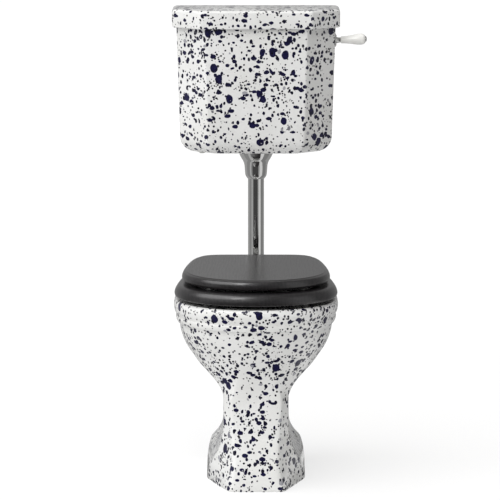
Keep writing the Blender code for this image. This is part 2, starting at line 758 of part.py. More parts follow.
def hinge_pillar(side, label, rod_bore):
    # The pillar stands on the deck, grips the rod in a round-topped post and takes a bolt below
    x = side * hinge_x
    foot_spot = spot(x, hinge_p, 0)
    up = (0, 0, 1)
    base = rim_height + seat_gap
    hole = seat_bolt_radius + seat_gap
    foot = [(pillar_foot_radius, base), (pillar_foot_radius, base + pillar_foot_thick * 0.6),
            (pillar_radius, base + pillar_foot_thick), (pillar_radius * 0.9, hinge_axis_height)]
    pillar = piece("hinge_pillar_" + label, aimed(turned("hinge_pillar", foot, 16), foot_spot, up),
                   chrome_look)
    eye = turned("post_eye", [(pillar_radius, -pillar_width / 2), (pillar_radius, pillar_width / 2)],
                 16)
    shape_with(pillar, aimed(eye, spot(x, hinge_p, hinge_axis_height), (1, 0, 0)), "UNION",
               "post_eye")
    shape_with(pillar, aimed(turned("socket", [(hole, base - overrun), (hole, base + pillar_radius)],
                                    12), foot_spot, up), "DIFFERENCE", "socket")
    shape_with(pillar, rod_bore, "DIFFERENCE", "rod_bore")

    bolt = [(seat_bolt_radius * 0.8, seat_bolt_bottom),
            (seat_bolt_radius, seat_bolt_bottom + seat_bolt_radius / 4),
            (seat_bolt_radius, base + pillar_radius - seat_gap)]
    piece("seat_bolt_" + label, aimed(turned("seat_bolt", bolt, 12), foot_spot, up), brass_look)
    washer_top = deck_underside - seat_gap
    washer_low = washer_top - seat_washer_thick
    washer = [(hole, washer_low), (seat_washer_radius, washer_low),
              (seat_washer_radius, washer_top), (hole, washer_top)]
    piece("seat_washer_" + label, aimed(turned("seat_washer", washer, 16, True), foot_spot, up),
          rubber_look)

    nut_top = washer_low - seat_gap
    hub = [(wing_hub_radius * 0.8, nut_top - wing_hub_length), (wing_hub_radius, nut_top)]
    nut = piece("wing_nut_" + label, aimed(turned("wing_nut", hub, 12), foot_spot, up), brass_look)
    shape_with(nut, slab("wings", spot(x - wing_span, hinge_p + wing_thick / 2,
                                       nut_top - wing_height),
                         spot(x + wing_span, hinge_p - wing_thick / 2,
                              nut_top - wing_hub_length / 5)), "UNION", "wings")
    shape_with(nut, aimed(turned("thread", [(hole, seat_bolt_bottom - overrun),
                                            (hole, deck_underside)], 12), foot_spot, up),
               "DIFFERENCE", "thread")

    # A domed nut closes each end of the rod
    start = hinge_x + pillar_width / 2 + seat_gap
    rod_hole = hinge_rod_radius + seat_gap
    deep = hinge_rod_half + seat_gap
    dome = [(rod_nut_radius, start),
            (rod_nut_radius, start + rod_nut_length * 0.6),
            (rod_nut_radius * 0.75, start + rod_nut_length * 1.2),
            (rod_nut_radius * 0.3, start + rod_nut_length * 1.45)]
    nut = piece("rod_nut_" + label, aimed(turned("rod_nut", dome, 12),
                                          spot(0, hinge_p, hinge_axis_height), (side, 0, 0)),
                chrome_look)
    shape_with(nut, aimed(turned("rod_socket", [(rod_hole, start - overrun), (rod_hole, deep)], 16),
                          spot(0, hinge_p, hinge_axis_height), (side, 0, 0)), "DIFFERENCE",
               "rod_socket")


# The union's cover is a bell: radius of its top radius, and height of its own height
shroud_bell_shares = ((1, 1), (.881, .823), (.786, .708), (.674, .566), (.621, .37), (.588, .136),
                      (.547, .068), (.465, 0))


def flush_pipe_parts():
    down = [(pipe_p, pipe_top), (pipe_p, horn_height + pipe_bend + pipe_radius)]
    bend = arc((pipe_p + pipe_bend, horn_height + pipe_bend), pipe_bend, 180, 270, 6)
    route = [spot(0, p, z) for p, z in down + bend + [(pipe_end, horn_height)]]
    pipe = piece("flush_pipe", tube("flush_pipe", route, pipe_radius, 20, (1, 0, 0)), chrome_look)
    inner = [spot(0, pipe_p, pipe_top + overrun)] + route[1:-1]
    inner.append(spot(0, pipe_end + overrun, horn_height))
    shape_with(pipe, tube("pipe_bore", inner, pipe_radius - pipe_wall, 16, (1, 0, 0)),
               "DIFFERENCE", "pipe_bore")

    centre = spot(0, pipe_p, 0)
    top = cistern_bottom - seat_gap
    thread = tail_radius + seat_gap
    nut_room = back_nut_radius + seat_gap * 3
    nut_low = cistern_bottom - back_nut_thick - seat_gap * 4
    cone_top = tail_bottom - seat_gap
    cone_low = cone_top - cone_height
    lip = pipe_radius + seat_gap
    bell = [(shroud_top_radius * wide, shroud_bottom + (top - shroud_bottom) * up)
            for wide, up in shroud_bell_shares]
    shroud = [(nut_room, top)] + bell
    shroud += [(lip, shroud_bottom), (lip, cone_low - seat_gap),
               (cone_radius + seat_gap, cone_low - seat_gap), (thread, cone_top),
               (thread, nut_low - seat_gap * 10), (nut_room, nut_low - seat_gap)]
    piece("pipe_shroud", aimed(turned("pipe_shroud", shroud, 22, True), centre, (0, 0, 1)),
          chrome_look)
    cone = [(lip, cone_low), (cone_radius, cone_low), (cone_radius, cone_low + cone_height * 0.4),
            (cone_radius * 0.97, cone_top), (lip, cone_top)]
    piece("cone_washer", aimed(turned("cone_washer", cone, 18, True), centre, (0, 0, 1)),
          rubber_look)
    flat_nut("siphon_back_nut", 8, back_nut_radius, top - back_nut_thick, top, thread, centre,
             (0, 0, 1))

    # A rubber cone slipped over the pipe and the horn's mouth
    stop = horn_back - seat_gap
    cone = [(lip, flush_cone_back), (flush_cone_neck, flush_cone_back),
            (flush_cone_neck, flush_cone_back + pipe_radius / 2), (flush_cone_radius, stop - overrun),
            (flush_cone_radius, flush_cone_front), (horn_radius + seat_gap, flush_cone_front),
            (horn_radius + seat_gap, stop), (lip, stop)]
    shape = turned("flush_cone", cone, 24, True)
    piece("flush_cone", aimed(shape, spot(0, 0, horn_height), (0, -1, 0)), rubber_look)


def inset_corners(corners, insets):
    # Moves each side of a convex outline inwards by its own amount and crosses them again
    count = len(corners)
    middle = Vector((sum(c[0] for c in corners), sum(c[1] for c in corners))) / count
    lines = []
    for k in range(count):
        a = Vector(corners[k])
        b = Vector(corners[(k + 1) % count])
        along = (b - a).normalized()
        inward = Vector((-along.y, along.x))
        if inward.dot(middle - a) < 0:
            inward = -inward
        lines.append((a + inward * insets[k], along))
    moved = []
    for k in range(count):
        (a, u), (b, v) = lines[k - 1], lines[k]
        cross = u.x * v.y - u.y * v.x
        step = ((b - a).x * v.y - (b - a).y * v.x) / cross
        moved.append(a + u * step)
    return moved


def rounded(corners, radius, steps):
    # Replaces each corner of an outline by an arc tangent to its two sides
    count = len(corners)
    points = []
    for k in range(count):
        here = Vector(corners[k])
        back = (Vector(corners[k - 1]) - here).normalized()
        ahead = (Vector(corners[(k + 1) % count]) - here).normalized()
        half = back.angle(ahead) / 2
        reach = radius / math.tan(half)
        centre = here + (back + ahead).normalized() * radius / math.sin(half)
        first = here + back * reach - centre
        last = here + ahead * reach - centre
        sweep = first.angle_signed(last)
        for j in range(steps + 1):
            turn = Matrix.Rotation(-sweep * j / steps, 2)
            points.append(centre + turn @ first)
    return points


def cistern_ring(half, front, back, z, insets, radius, steps=2):
    # Eight-sided front, straight back: sides are back, right, right chamfer, front and so on
    corners = [(-half, back), (half, back), (half, front - chamfer_deep),
               (half - chamfer_wide, front), (chamfer_wide - half, front),
               (-half, front - chamfer_deep)]
    moved = inset_corners(corners, insets)
    return [spot(x, p, z) for x, p in rounded(moved, radius, steps)]


def cistern_size(z):
    # The body widens and deepens evenly from its bottom to its top
    share = (z - cistern_bottom) / (cistern_top - cistern_bottom)
    half = cistern_half_bottom + (cistern_half_top - cistern_half_bottom) * share
    front = cistern_front_bottom + (cistern_front_top - cistern_front_bottom) * share
    return half, front


def cistern_body():
    # A tapered cup with a rolled bottom edge; the inner rings follow the outer ones
    rings = [cistern_ring(half, front, 0, z, insets, corner_round)
             for z, half, front, insets in bottom_rows()]
    half, front = cistern_size(cistern_top)
    rings.append(cistern_ring(half, front, 0, cistern_top, (0,) * 6, corner_round))
    inner_round = corner_round / 2
    rings.append(cistern_ring(half, front, 0, cistern_top, (china_wall,) * 6, inner_round))
    floor = cistern_bottom + china_floor
    low = floor + side_round / 2
    half, front = cistern_size(low)
    rings.append(cistern_ring(half, front, 0, low, (china_wall,) * 6, inner_round))
    half, front = cistern_size(floor)
    rings.append(cistern_ring(half, front, 0, floor, (side_round * 0.75,) * 6, inner_round))
    body = piece("cistern_body", loft("cistern_body", rings), china_look)

    deep = china_floor + 2 * overrun
    low = cistern_bottom - overrun
    drills = [aimed(turned("siphon_hole", [(siphon_hole, 0), (siphon_hole, deep)], 24),
                    spot(0, pipe_p, low), (0, 0, 1)),
              aimed(turned("valve_hole", [(valve_hole, 0), (valve_hole, deep)], 16),
                    spot(valve_x, valve_p, low), (0, 0, 1)),
              aimed(turned("lever_hole", [(wall_hole, -2 * china_wall), (wall_hole, 2 * china_wall)],
                           24), lever_centre(), wall_normal())]
    shape_with(body, joined("cistern_holes", drills), "DIFFERENCE", "cistern_holes")


def bottom_rows():
    # Quarter-round bottom edge, in (height, half width, front, inset of each side)
    rows = []
    for k in range(5):
        turn = math.pi / 2 * k / 4
        z = cistern_bottom + side_round * (1 - math.cos(turn))
        side = side_round * (1 - math.sin(turn))
        half, front = cistern_size(z)
        across = side * 1.05
        rows.append((z, half, front, (side * 0.2, across, side * 0.8, side * 0.55, side * 0.8,
                                      across)))
    return rows


def wall_normal():
    # Outward direction of the right side wall, which leans out towards the top
    lean = (cistern_half_top - cistern_half_bottom) / (cistern_top - cistern_bottom)
    return Vector((1, 0, -lean)).normalized()


def lever_centre():
    # The ball sits in the middle of the wall's thickness
    half, front = cistern_size(lever_height)
    return spot(half, lever_p, lever_height) - wall_normal() * china_wall / 2


def cistern_lid(lid_lift):
    # A capping with a skirt outside the body's rim and a slightly crowned top
    half, front = cistern_size(cistern_top)
    gap = lid_rim_gap
    thick = lid_skirt_thick
    out = gap + thick
    back = seat_gap * 5
    radius = corner_round * 1.4

    def lid_ring(grow, z, inset, rounding, behind=0):
        across = inset * 1.8
        insets = (back + inset + behind, across, inset, inset, inset, across)
        return cistern_ring(half + grow, front + grow, 0, z, insets, rounding)

    edge = lid_edge_round
    ceiling = cistern_top + seat_gap
    rings = [lid_ring(gap, ceiling, 0, corner_round, thick),
             lid_ring(gap, lid_skirt_bottom, 0, corner_round, thick),
             lid_ring(out, lid_skirt_bottom, edge * 0.12, radius),
             lid_ring(out, lid_skirt_bottom + edge * 0.2, 0, radius),
             lid_ring(out, lid_top_edge - edge, 0, radius)]
    for turn in (30, 60, 85):
        a = math.radians(turn)
        rings.append(lid_ring(out, lid_top_edge - edge * (1 - math.sin(a)), edge * (1 - math.cos(a)),
                              radius))
    rings.append(lid_ring(out, lid_top_edge + lid_crown * 0.6, front * 0.18, radius))
    rings.append(lid_ring(out, lid_top_edge + lid_crown * 0.9, front * 0.32, radius / 2))
    rings.append(lid_ring(out, lid_top_edge + lid_crown, front * 0.42, radius / 4))
    lid = piece("cistern_lid", loft("cistern_lid", rings), china_look, lid_lift)
    # The back of the skirt is open where the body's straight back stands against the wall
    notch = slab("back_opening", spot(-half - gap, front / 4, lid_skirt_bottom - overrun),
                 spot(half + gap, -overrun, ceiling))
    shape_with(lid, notch, "DIFFERENCE", "back_opening")


def lever_parts(lever_axis):
    centre = lever_centre()
    outward = wall_normal()
    face = china_wall / 2 + seat_gap
    lip = face + bush_flange_thick
    bush = [(bush_bore, -bush_inside), (bush_outer, -bush_inside), (bush_outer, face),
            (bush_flange, face), (bush_flange * 0.97, face + bush_flange_thick * 0.35),
            (bush_lip, lip), (bush_bore, lip)]
    piece("lever_bush", aimed(turned("lever_bush", bush, 20, True), centre, outward), chrome_look)
    flat_nut("lever_back_nut", 6, bush_nut_radius, -face - bush_nut_thick, -face,
             bush_outer + seat_gap, centre, outward)

    # One turned bar: inner arm, ball in the bush, flared neck and a spindle inside the grip
    along = Vector((math.cos(lever_rise), 0, math.sin(lever_rise)))
    ball = [(lever_ball * math.cos(math.radians(a)), lever_ball * math.sin(math.radians(a)))
            for a in (-66, -48, -30, -12, 0, 12, 24)]
    spindle_end = grip_start + grip_length - overrun * 2
    bar = [(inner_arm_radius * 0.6, -inner_arm_length),
           (inner_arm_radius, -inner_arm_length + inner_arm_radius / 2),
           (inner_arm_radius, -lever_ball * 1.15)] + ball
    bar += [(neck_flare * 0.82, lever_ball * 0.72), (neck_radius * 1.12, lever_ball * 1.05),
            (neck_radius, lever_ball * 1.45), (neck_radius, grip_start - seat_gap),
            (spindle_radius, grip_start - seat_gap), (spindle_radius, spindle_end)]
    piece("lever_arm", aimed(turned("lever_arm", bar, 14), centre, along), chrome_look, lever_axis)

    hole = spindle_radius + seat_gap
    start = grip_start
    tip = grip_start + grip_length
    cap_seat = tip - end_cap_height * 0.2
    grip = [(hole, start), (grip_root * 0.85, start), (grip_root, start + grip_root * 0.25),
            (grip_root * 1.03, start + grip_length * 0.15),
            (grip_root + (grip_belly - grip_root) * 0.45, start + grip_length * 0.45),
            (grip_belly * 0.97, start + grip_length * 0.68), (grip_belly, start + grip_length * 0.80),
            (grip_belly * 0.93, start + grip_length * 0.90),
            (grip_belly * 0.72, start + grip_length * 0.97), (end_cap_radius * 1.05, cap_seat),
            (hole, cap_seat)]
    piece("lever_grip", aimed(turned("lever_grip", grip, 18, True), centre, along), china_look,
          lever_axis)
    cap = [(spindle_radius * 0.7, spindle_end + seat_gap),
           (spindle_radius, spindle_end + seat_gap * 2), (spindle_radius, cap_seat + seat_gap),
           (end_cap_radius, cap_seat + seat_gap),
           (end_cap_radius * 0.92, cap_seat + end_cap_height * 0.6),
           (end_cap_radius * 0.4, cap_seat + end_cap_height)]
    piece("lever_end_cap", aimed(turned("lever_end_cap", cap, 12), centre, along), chrome_look,
          lever_axis)


def siphon_parts(rod_axis):
    floor = cistern_bottom + china_floor
    washer_low = floor + seat_gap
    washer_top = washer_low + siphon_washer_thick
    flange_low = washer_top + seat_gap
    centre = spot(0, pipe_p, 0)
    washer = [(tail_radius + seat_gap, washer_low), (siphon_flange_radius, washer_low),
              (siphon_flange_radius, washer_top), (tail_radius + seat_gap, washer_top)]
    piece("siphon_washer", aimed(turned("siphon_washer", washer, 20, True), centre, (0, 0, 1)),
          rubber_look)

    # Chamber open below, an arch over to the down leg and a tail through the cistern's floor
    chamber = turned("siphon_body", [(chamber_radius, chamber_bottom), (chamber_radius, chamber_top),
                                     (chamber_radius * 0.75, chamber_top + chamber_radius * 0.4),
                                     (chamber_radius * 0.4, chamber_top + chamber_radius * 0.55)], 20)
    body = piece("siphon_body", aimed(chamber, spot(chamber_x, pipe_p, 0), (0, 0, 1)),
                 plastic_look)
    over = arc((arch_radius, arch_height), arch_radius, 0, 180, 7)
    route = [(chamber_x, chamber_top - chamber_radius)] + over + [(0, flange_low)]
    shape_with(body, tube("arch", [spot(x, pipe_p, z) for x, z in route], tail_radius, 14,
                          (0, 1, 0)), "UNION", "arch")
    tail = [(tail_radius, tail_bottom), (tail_radius, flange_low), (siphon_flange_radius, flange_low),
            (siphon_flange_radius, flange_low + siphon_flange_thick),
            (tail_radius, flange_low + siphon_flange_thick * 2)]
    shape_with(body, aimed(turned("tail", tail, 20), centre, (0, 0, 1)), "UNION", "tail")
    inside = chamber_radius - chamber_wall
    cavity = turned("chamber_bore", [(inside, chamber_bottom - overrun),
                                     (inside, chamber_top - chamber_wall),
                                     (inside * 0.75, chamber_top + inside * 0.3)], 20)
    shape_with(body, aimed(cavity, spot(chamber_x, pipe_p, 0), (0, 0, 1)), "DIFFERENCE",
               "chamber_bore")
    passage = route[:-1] + [(0, tail_bottom - overrun)]
    shape_with(body, tube("siphon_bore", [spot(x, pipe_p, z) for x, z in passage], tail_bore, 16,
                          (0, 1, 0)), "DIFFERENCE", "siphon_bore")
    guide = turned("rod_guide", [(rod_radius + seat_gap, arch_height),
                                 (rod_radius + seat_gap, arch_height + 2 * arch_radius)], 12)
    shape_with(body, aimed(guide, spot(chamber_x, pipe_p, 0), (0, 0, 1)), "DIFFERENCE", "rod_guide")

    column = spot(chamber_x, pipe_p, 0)
    hole = rod_radius + seat_gap
    plate_radius = inside - running_gap * 3
    plate = [(hole, plate_height), (plate_radius, plate_height),
             (plate_radius, plate_height + plate_thick), (hole, plate_height + plate_thick)]
    piece("siphon_plate", aimed(turned("siphon_plate", plate, 18, True), column, (0, 0, 1)),
          plastic_look, rod_axis)
    skin = plate_height + plate_thick + seat_gap
    flap = [(hole, skin), (plate_radius, skin), (plate_radius, skin + diaphragm_thick),
            (hole, skin + diaphragm_thick)]
    piece("siphon_diaphragm", aimed(turned("siphon_diaphragm", flap, 18, True), column, (0, 0, 1)),
          rubber_look, rod_axis)

    # The rod carries a collar under the plate and a stirrup round the end of the lever's arm
    drop = (inner_arm_length - stirrup_thick) * math.sin(lever_rise)
    arm_z = lever_centre().z - drop
    low = arm_z - stirrup_tall / 2
    rod = [(rod_radius * 2, plate_height - seat_gap - plate_thick),
           (rod_radius * 2, plate_height - seat_gap), (rod_radius, plate_height - seat_gap),
           (rod_radius, low + stirrup_bar / 2)]
    lift = piece("lift_rod", aimed(turned("lift_rod", rod, 12), column, (0, 0, 1)), brass_look,
                 rod_axis)
    shape_with(lift, slab("stirrup", spot(chamber_x - stirrup_thick / 2, pipe_p + stirrup_half, low),
                          spot(chamber_x + stirrup_thick / 2, pipe_p - stirrup_half,
                               low + stirrup_tall)), "UNION", "stirrup")
    shape_with(lift, slab("stirrup_slot", spot(chamber_x - stirrup_thick, pipe_p + stirrup_half
                                               - stirrup_bar, low + stirrup_bar),
                          spot(chamber_x + stirrup_thick, pipe_p - stirrup_half + stirrup_bar,
                               low + stirrup_tall - stirrup_bar)), "DIFFERENCE", "stirrup_slot")


def fill_valve_parts(float_axis):
    centre = spot(valve_x, valve_p, 0)
    floor = cistern_bottom + china_floor
    washer_low = floor + seat_gap
    washer_top = washer_low + valve_washer_thick
    flange_low = washer_top + seat_gap
    hole = valve_tail_radius + seat_gap
    shank = [(valve_tail_radius * 0.9, valve_tail_bottom),
             (valve_tail_radius, valve_tail_bottom + seat_gap * 3), (valve_tail_radius, flange_low),
             (valve_flange_radius, flange_low), (valve_flange_radius, flange_low + valve_flange_thick),
             (riser_radius, flange_low + valve_flange_thick), (riser_radius, riser_top)]
    piece("fill_valve_shank", aimed(turned("fill_valve_shank", shank, 16), centre, (0, 0, 1)),
          plastic_look)
    washer = [(hole, washer_low), (valve_flange_radius, washer_low),
              (valve_flange_radius, washer_top), (hole, washer_top)]
    piece("fill_valve_washer", aimed(turned("fill_valve_washer", washer, 16, True), centre,
                                     (0, 0, 1)), rubber_look)
    top = cistern_bottom - seat_gap
    flat_nut("fill_valve_nut", 6, valve_nut_radius, top - valve_nut_thick, top, hole, centre,
             (0, 0, 1))

    low = riser_top + seat_gap
    head = [(head_radius, low), (head_radius, low + head_height * 0.8),
            (head_radius * 0.8, low + head_height), (head_radius * 0.3, low + head_height)]
    valve = piece("valve_head", aimed(turned("valve_head", head, 16), centre, (0, 0, 1)),
                  plastic_look)
    inner = knuckle_width / 2 + running_gap
    ears = [slab("ear", spot(valve_x, valve_p + near, float_pivot_height - ear_height / 2),
                 spot(valve_x + ear_reach, valve_p + near - ear_thick,
                      float_pivot_height + ear_height / 2))
            for near in (inner + ear_thick, -inner)]
    shape_with(valve, joined("ears", ears), "UNION", "ears")
    pin_at = spot(float_pivot_x, valve_p, float_pivot_height)
    drill = inner + ear_thick + overrun
    pin_hole = turned("pin_hole", [(pin_radius + seat_gap, -drill), (pin_radius + seat_gap, drill)],
                      12)
    shape_with(valve, aimed(pin_hole, pin_at, (0, 1, 0)), "DIFFERENCE", "pin_hole")
    half_pin = inner + ear_thick
    piece("arm_pin", aimed(turned("arm_pin", [(pin_radius, -half_pin), (pin_radius, half_pin)], 12),
                           pin_at, (0, 1, 0)), brass_look)

    knuckle = turned("float_arm", [(pin_radius + seat_gap, -knuckle_width / 2),
                                   (knuckle_radius, -knuckle_width / 2),
                                   (knuckle_radius, knuckle_width / 2),
                                   (pin_radius + seat_gap, knuckle_width / 2)], 16, True)
    arm = piece("float_arm", aimed(knuckle, pin_at, (0, 1, 0)), brass_look, float_axis)
    rod_start = pin_radius + seat_gap * 4
    rod = turned("arm_rod", [(float_arm_radius, rod_start), (float_arm_radius, float_arm_length)], 10)
    shape_with(arm, aimed(rod, pin_at, (1, 0, 0)), "UNION", "arm_rod")

    # A moulded ball with a socket for the rod's end
    start = float_arm_length - float_radius + float_radius * 0.35
    middle = float_arm_length + float_radius * 0.3
    socket = float_arm_radius + seat_gap
    angles = [math.radians(a) for a in range(18, 178, 20)]
    belly = [(float_radius * math.sin(a), middle - float_radius * math.cos(a)) for a in angles]
    ball = [(socket, belly[0][1])] + belly
    ball += [(float_radius * 0.08, middle + float_radius), (float_radius * 0.08,
                                                           float_arm_length + seat_gap * 3),
             (socket, float_arm_length + seat_gap)]
    piece("float_ball", aimed(turned("float_ball", ball, 14, True), pin_at, (1, 0, 0)), float_look,
          float_axis)


clear_scene()
hinge_point = spot(0, hinge_p, hinge_axis_height)
ring_axis = pivot("seat_ring_axis", hinge_point)
lid_axis = pivot("seat_lid_axis", hinge_point, ring_axis)
lever_axis = pivot("flush_lever_axis", lever_centre())
rod_axis = pivot("lift_rod_axis", spot(chamber_x, pipe_p, plate_height))
float_axis = pivot("float_arm_axis", spot(float_pivot_x, valve_p, float_pivot_height))
lid_lift = pivot("cistern_lid_axis", spot(0, cistern_front_top / 2, lid_skirt_bottom))
pan()
pan_fixings()
seat_parts(ring_axis, lid_axis)
flush_pipe_parts()
cistern_body()
cistern_lid(lid_lift)
lever_parts(lever_axis)
siphon_parts(rod_axis)
fill_valve_parts(float_axis)
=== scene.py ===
import json
import math
import bpy
import bmesh
import numpy as np
from mathutils import Matrix, Vector


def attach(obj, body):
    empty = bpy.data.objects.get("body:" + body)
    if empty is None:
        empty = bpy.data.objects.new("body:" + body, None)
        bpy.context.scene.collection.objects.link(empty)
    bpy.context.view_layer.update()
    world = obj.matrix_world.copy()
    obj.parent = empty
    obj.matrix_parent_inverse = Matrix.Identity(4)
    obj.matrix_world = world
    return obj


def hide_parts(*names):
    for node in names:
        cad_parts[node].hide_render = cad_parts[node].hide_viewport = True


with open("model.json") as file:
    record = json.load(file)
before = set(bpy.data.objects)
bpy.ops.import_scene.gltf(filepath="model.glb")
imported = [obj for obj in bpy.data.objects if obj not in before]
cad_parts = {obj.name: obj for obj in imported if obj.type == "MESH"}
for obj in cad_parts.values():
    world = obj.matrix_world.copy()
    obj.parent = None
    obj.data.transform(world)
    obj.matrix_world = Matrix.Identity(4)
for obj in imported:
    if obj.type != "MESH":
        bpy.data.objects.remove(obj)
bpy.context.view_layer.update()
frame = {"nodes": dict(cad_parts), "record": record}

wallY = 0.251  # wall plane; every p below is a distance in front of it
overrun = 0.004  # how far a cutting tool sticks out
core = 0.001  # hole left along the axis of a turned tool, which its end fans close
sharpAngle = 40  # degrees past which an edge is shaded sharp
bodyOf = {node: body for body, nodes in frame["record"]["behaviour"]["bodies"].items()
          for node in nodes}
slotOf = {part["node"]: part["material_slot"] for part in frame["record"]["subparts"]}
settled = set()  # nodes that have their visible piece
print("frame loaded:", len(frame["nodes"]), "nodes")


# Helpers for shapes
def atWall(x, p, z):
    # Points x to the side, p in front of the wall and z above the floor.
    return np.stack(np.broadcast_arrays(x, wallY - p, z), -1)


def gridPiece(name, grid, hoop=False):
    # Rows of closed rings joined row to row; ends closed by a fan, or to each other on a hoop.
    rows, count = grid.shape[:2]
    index = np.arange(rows * count).reshape(rows, count)
    low = index if hoop else index[:-1]
    high = np.roll(index, -1, 0) if hoop else index[1:]
    quads = np.stack([low, np.roll(low, -1, 1), np.roll(high, -1, 1), high], -1).reshape(-1, 4)
    points = grid.reshape(-1, 3)
    faces = quads.tolist()
    if not hoop:
        points = np.vstack([points, grid[0].mean(0), grid[-1].mean(0)])
        for ring, tip in ((index[0], rows * count), (index[-1], rows * count + 1)):
            faces += np.stack([ring, np.roll(ring, -1), np.full(count, tip)], -1).tolist()
    mesh = bpy.data.meshes.new(name)
    mesh.from_pydata(points.tolist(), [], faces)
    return addPiece(name, mesh)


def shade(mesh, sharp=sharpAngle):
    mesh.shade_smooth()
    mesh.set_sharp_from_angle(angle=math.radians(sharp))


def placed(name, data):
    made = bpy.data.objects.new(name, data)
    bpy.context.scene.collection.objects.link(made)
    return made


def addPiece(name, mesh):
    # A shaded piece with its faces turned outwards.
    shell = bmesh.new()
    shell.from_mesh(mesh)
    bmesh.ops.recalc_face_normals(shell, faces=shell.faces)
    shell.to_mesh(mesh)
    shell.free()
    shade(mesh)
    return placed(name, mesh)


def turnedPiece(name, profile, centre, direction, sides=96, hoop=False, soft=0.0004):
    # Each (radius, height) of a softened profile is swept round the direction through the centre.
    line = softened(np.array(profile, float), soft, hoop)
    along = np.array(direction, float) / np.linalg.norm(direction)
    side = np.cross(along, (0.0, 1.0, 0.0) if abs(along[1]) < 0.9 else (1.0, 0.0, 0.0))
    side /= np.linalg.norm(side)
    other = np.cross(along, side)
    turn = np.linspace(0, 2 * np.pi, sides, endpoint=False)
    circle = np.cos(turn)[:, None] * side + np.sin(turn)[:, None] * other
    grid = np.array(centre) + line[:, None, 1:] * along + line[:, None, :1] * circle
    return gridPiece(name, grid, hoop)


def softened(line, radius, closed=False, steps=4, mostShare=0.45, tiny=1e-9):
    # Each corner becomes a short quadratic curve that starts and ends a radius from it, or the
    # most share of a side that is too short for that.
    count = len(line)
    out = []
    for k in range(count):
        if not closed and k in (0, count - 1):
            out.append(line[k])
            continue
        here, ends = line[k], (line[k - 1], line[(k + 1) % count])
        first, last = (here + (end - here) * min(mostShare, radius / max(np.linalg.norm(end - here), tiny))
                       for end in ends)
        for t in np.linspace(0, 1, steps + 1):
            out.append((1 - t) ** 2 * first + 2 * t * (1 - t) * here + t * t * last)
    return np.array(out)


def monotone(at, xs, ys):
    # Cubic through the given values with slopes held back so that nothing overshoots.
    xs, ys, at = (np.asarray(v, float) for v in (xs, ys, at))
    step = np.diff(xs)
    slope = np.diff(ys) / step
    tangent = np.zeros_like(ys)
    same = slope[:-1] * slope[1:] > 0
    weightA, weightB = 2 * step[1:] + step[:-1], step[1:] + 2 * step[:-1]
    safe = np.where(same, slope[:-1], 1), np.where(same, slope[1:], 1)
    tangent[1:-1] = np.where(same, (weightA + weightB) / (weightA / safe[0] + weightB / safe[1]), 0)
    tangent[0], tangent[-1] = slope[0], slope[-1]
    k = np.clip(np.searchsorted(xs, at, "right") - 1, 0, len(xs) - 2)
    t = (at - xs[k]) / step[k]
    return ((1 + 2 * t) * (1 - t) ** 2 * ys[k] + t * (1 - t) ** 2 * step[k] * tangent[k]
            + t * t * (3 - 2 * t) * ys[k + 1] + t * t * (t - 1) * step[k] * tangent[k + 1])


def tubeGrid(path, radius, sides):
    # Circles of one radius, square to a path that lies in the middle plane.
    tangent = np.gradient(path, axis=0)
    tangent /= np.linalg.norm(tangent, axis=1, keepdims=True)
    across = np.array((1.0, 0.0, 0.0))
    normal = np.cross(across, tangent)
    turn = np.linspace(0, 2 * np.pi, sides, endpoint=False)[None, :, None]
    return path[:, None] + radius * (np.cos(turn) * normal[:, None] + np.sin(turn) * across)


def arcPoints(centre, radius, start, stop, count):
    # Points of a circle between two angles in degrees.
    turn = np.radians(np.linspace(start, stop, count))
    return np.stack([centre[0] + radius * np.cos(turn), centre[1] + radius * np.sin(turn)], -1)


def carve(piece, tools, how="DIFFERENCE"):
    # Cuts or joins by exact booleans and keeps the result as the piece's own mesh.
    for tool in tools:
        step = piece.modifiers.new("carve", "BOOLEAN")
        step.operation, step.solver, step.object = how, "EXACT", tool
    graph = bpy.context.evaluated_depsgraph_get()
    done = bpy.data.meshes.new_from_object(piece.evaluated_get(graph))
    piece.modifiers.clear()
    piece.data = done
    shade(done)
    for tool in tools:
        bpy.data.objects.remove(tool)


def settle(piece, node, material=None):
    # The piece stands for the hidden node, on its body, with its slot's usual finish or the one given.
    slot = slotOf[node]
    settled.add(node)
    piece.data.materials.clear()
    piece.data.materials.append(material or finishOf[slot])
    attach(piece, bodyOf[node])
    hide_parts(node)


# Shader maths as expressions
class Wire:
    # A socket that Python operators turn into Math nodes.

    def __init__(self, mix, socket):
        self.mix, self.socket = mix, socket

    def maths(self, operation, *others):
        return self.mix.node("ShaderNodeMath", dict(enumerate((self,) + others)),
                             operation=operation)[0]

    def __add__(self, other):
        return self.maths("ADD", other)

    def __sub__(self, other):
        return self.maths("SUBTRACT", other)

    def __mul__(self, other):
        return self.maths("MULTIPLY", other)


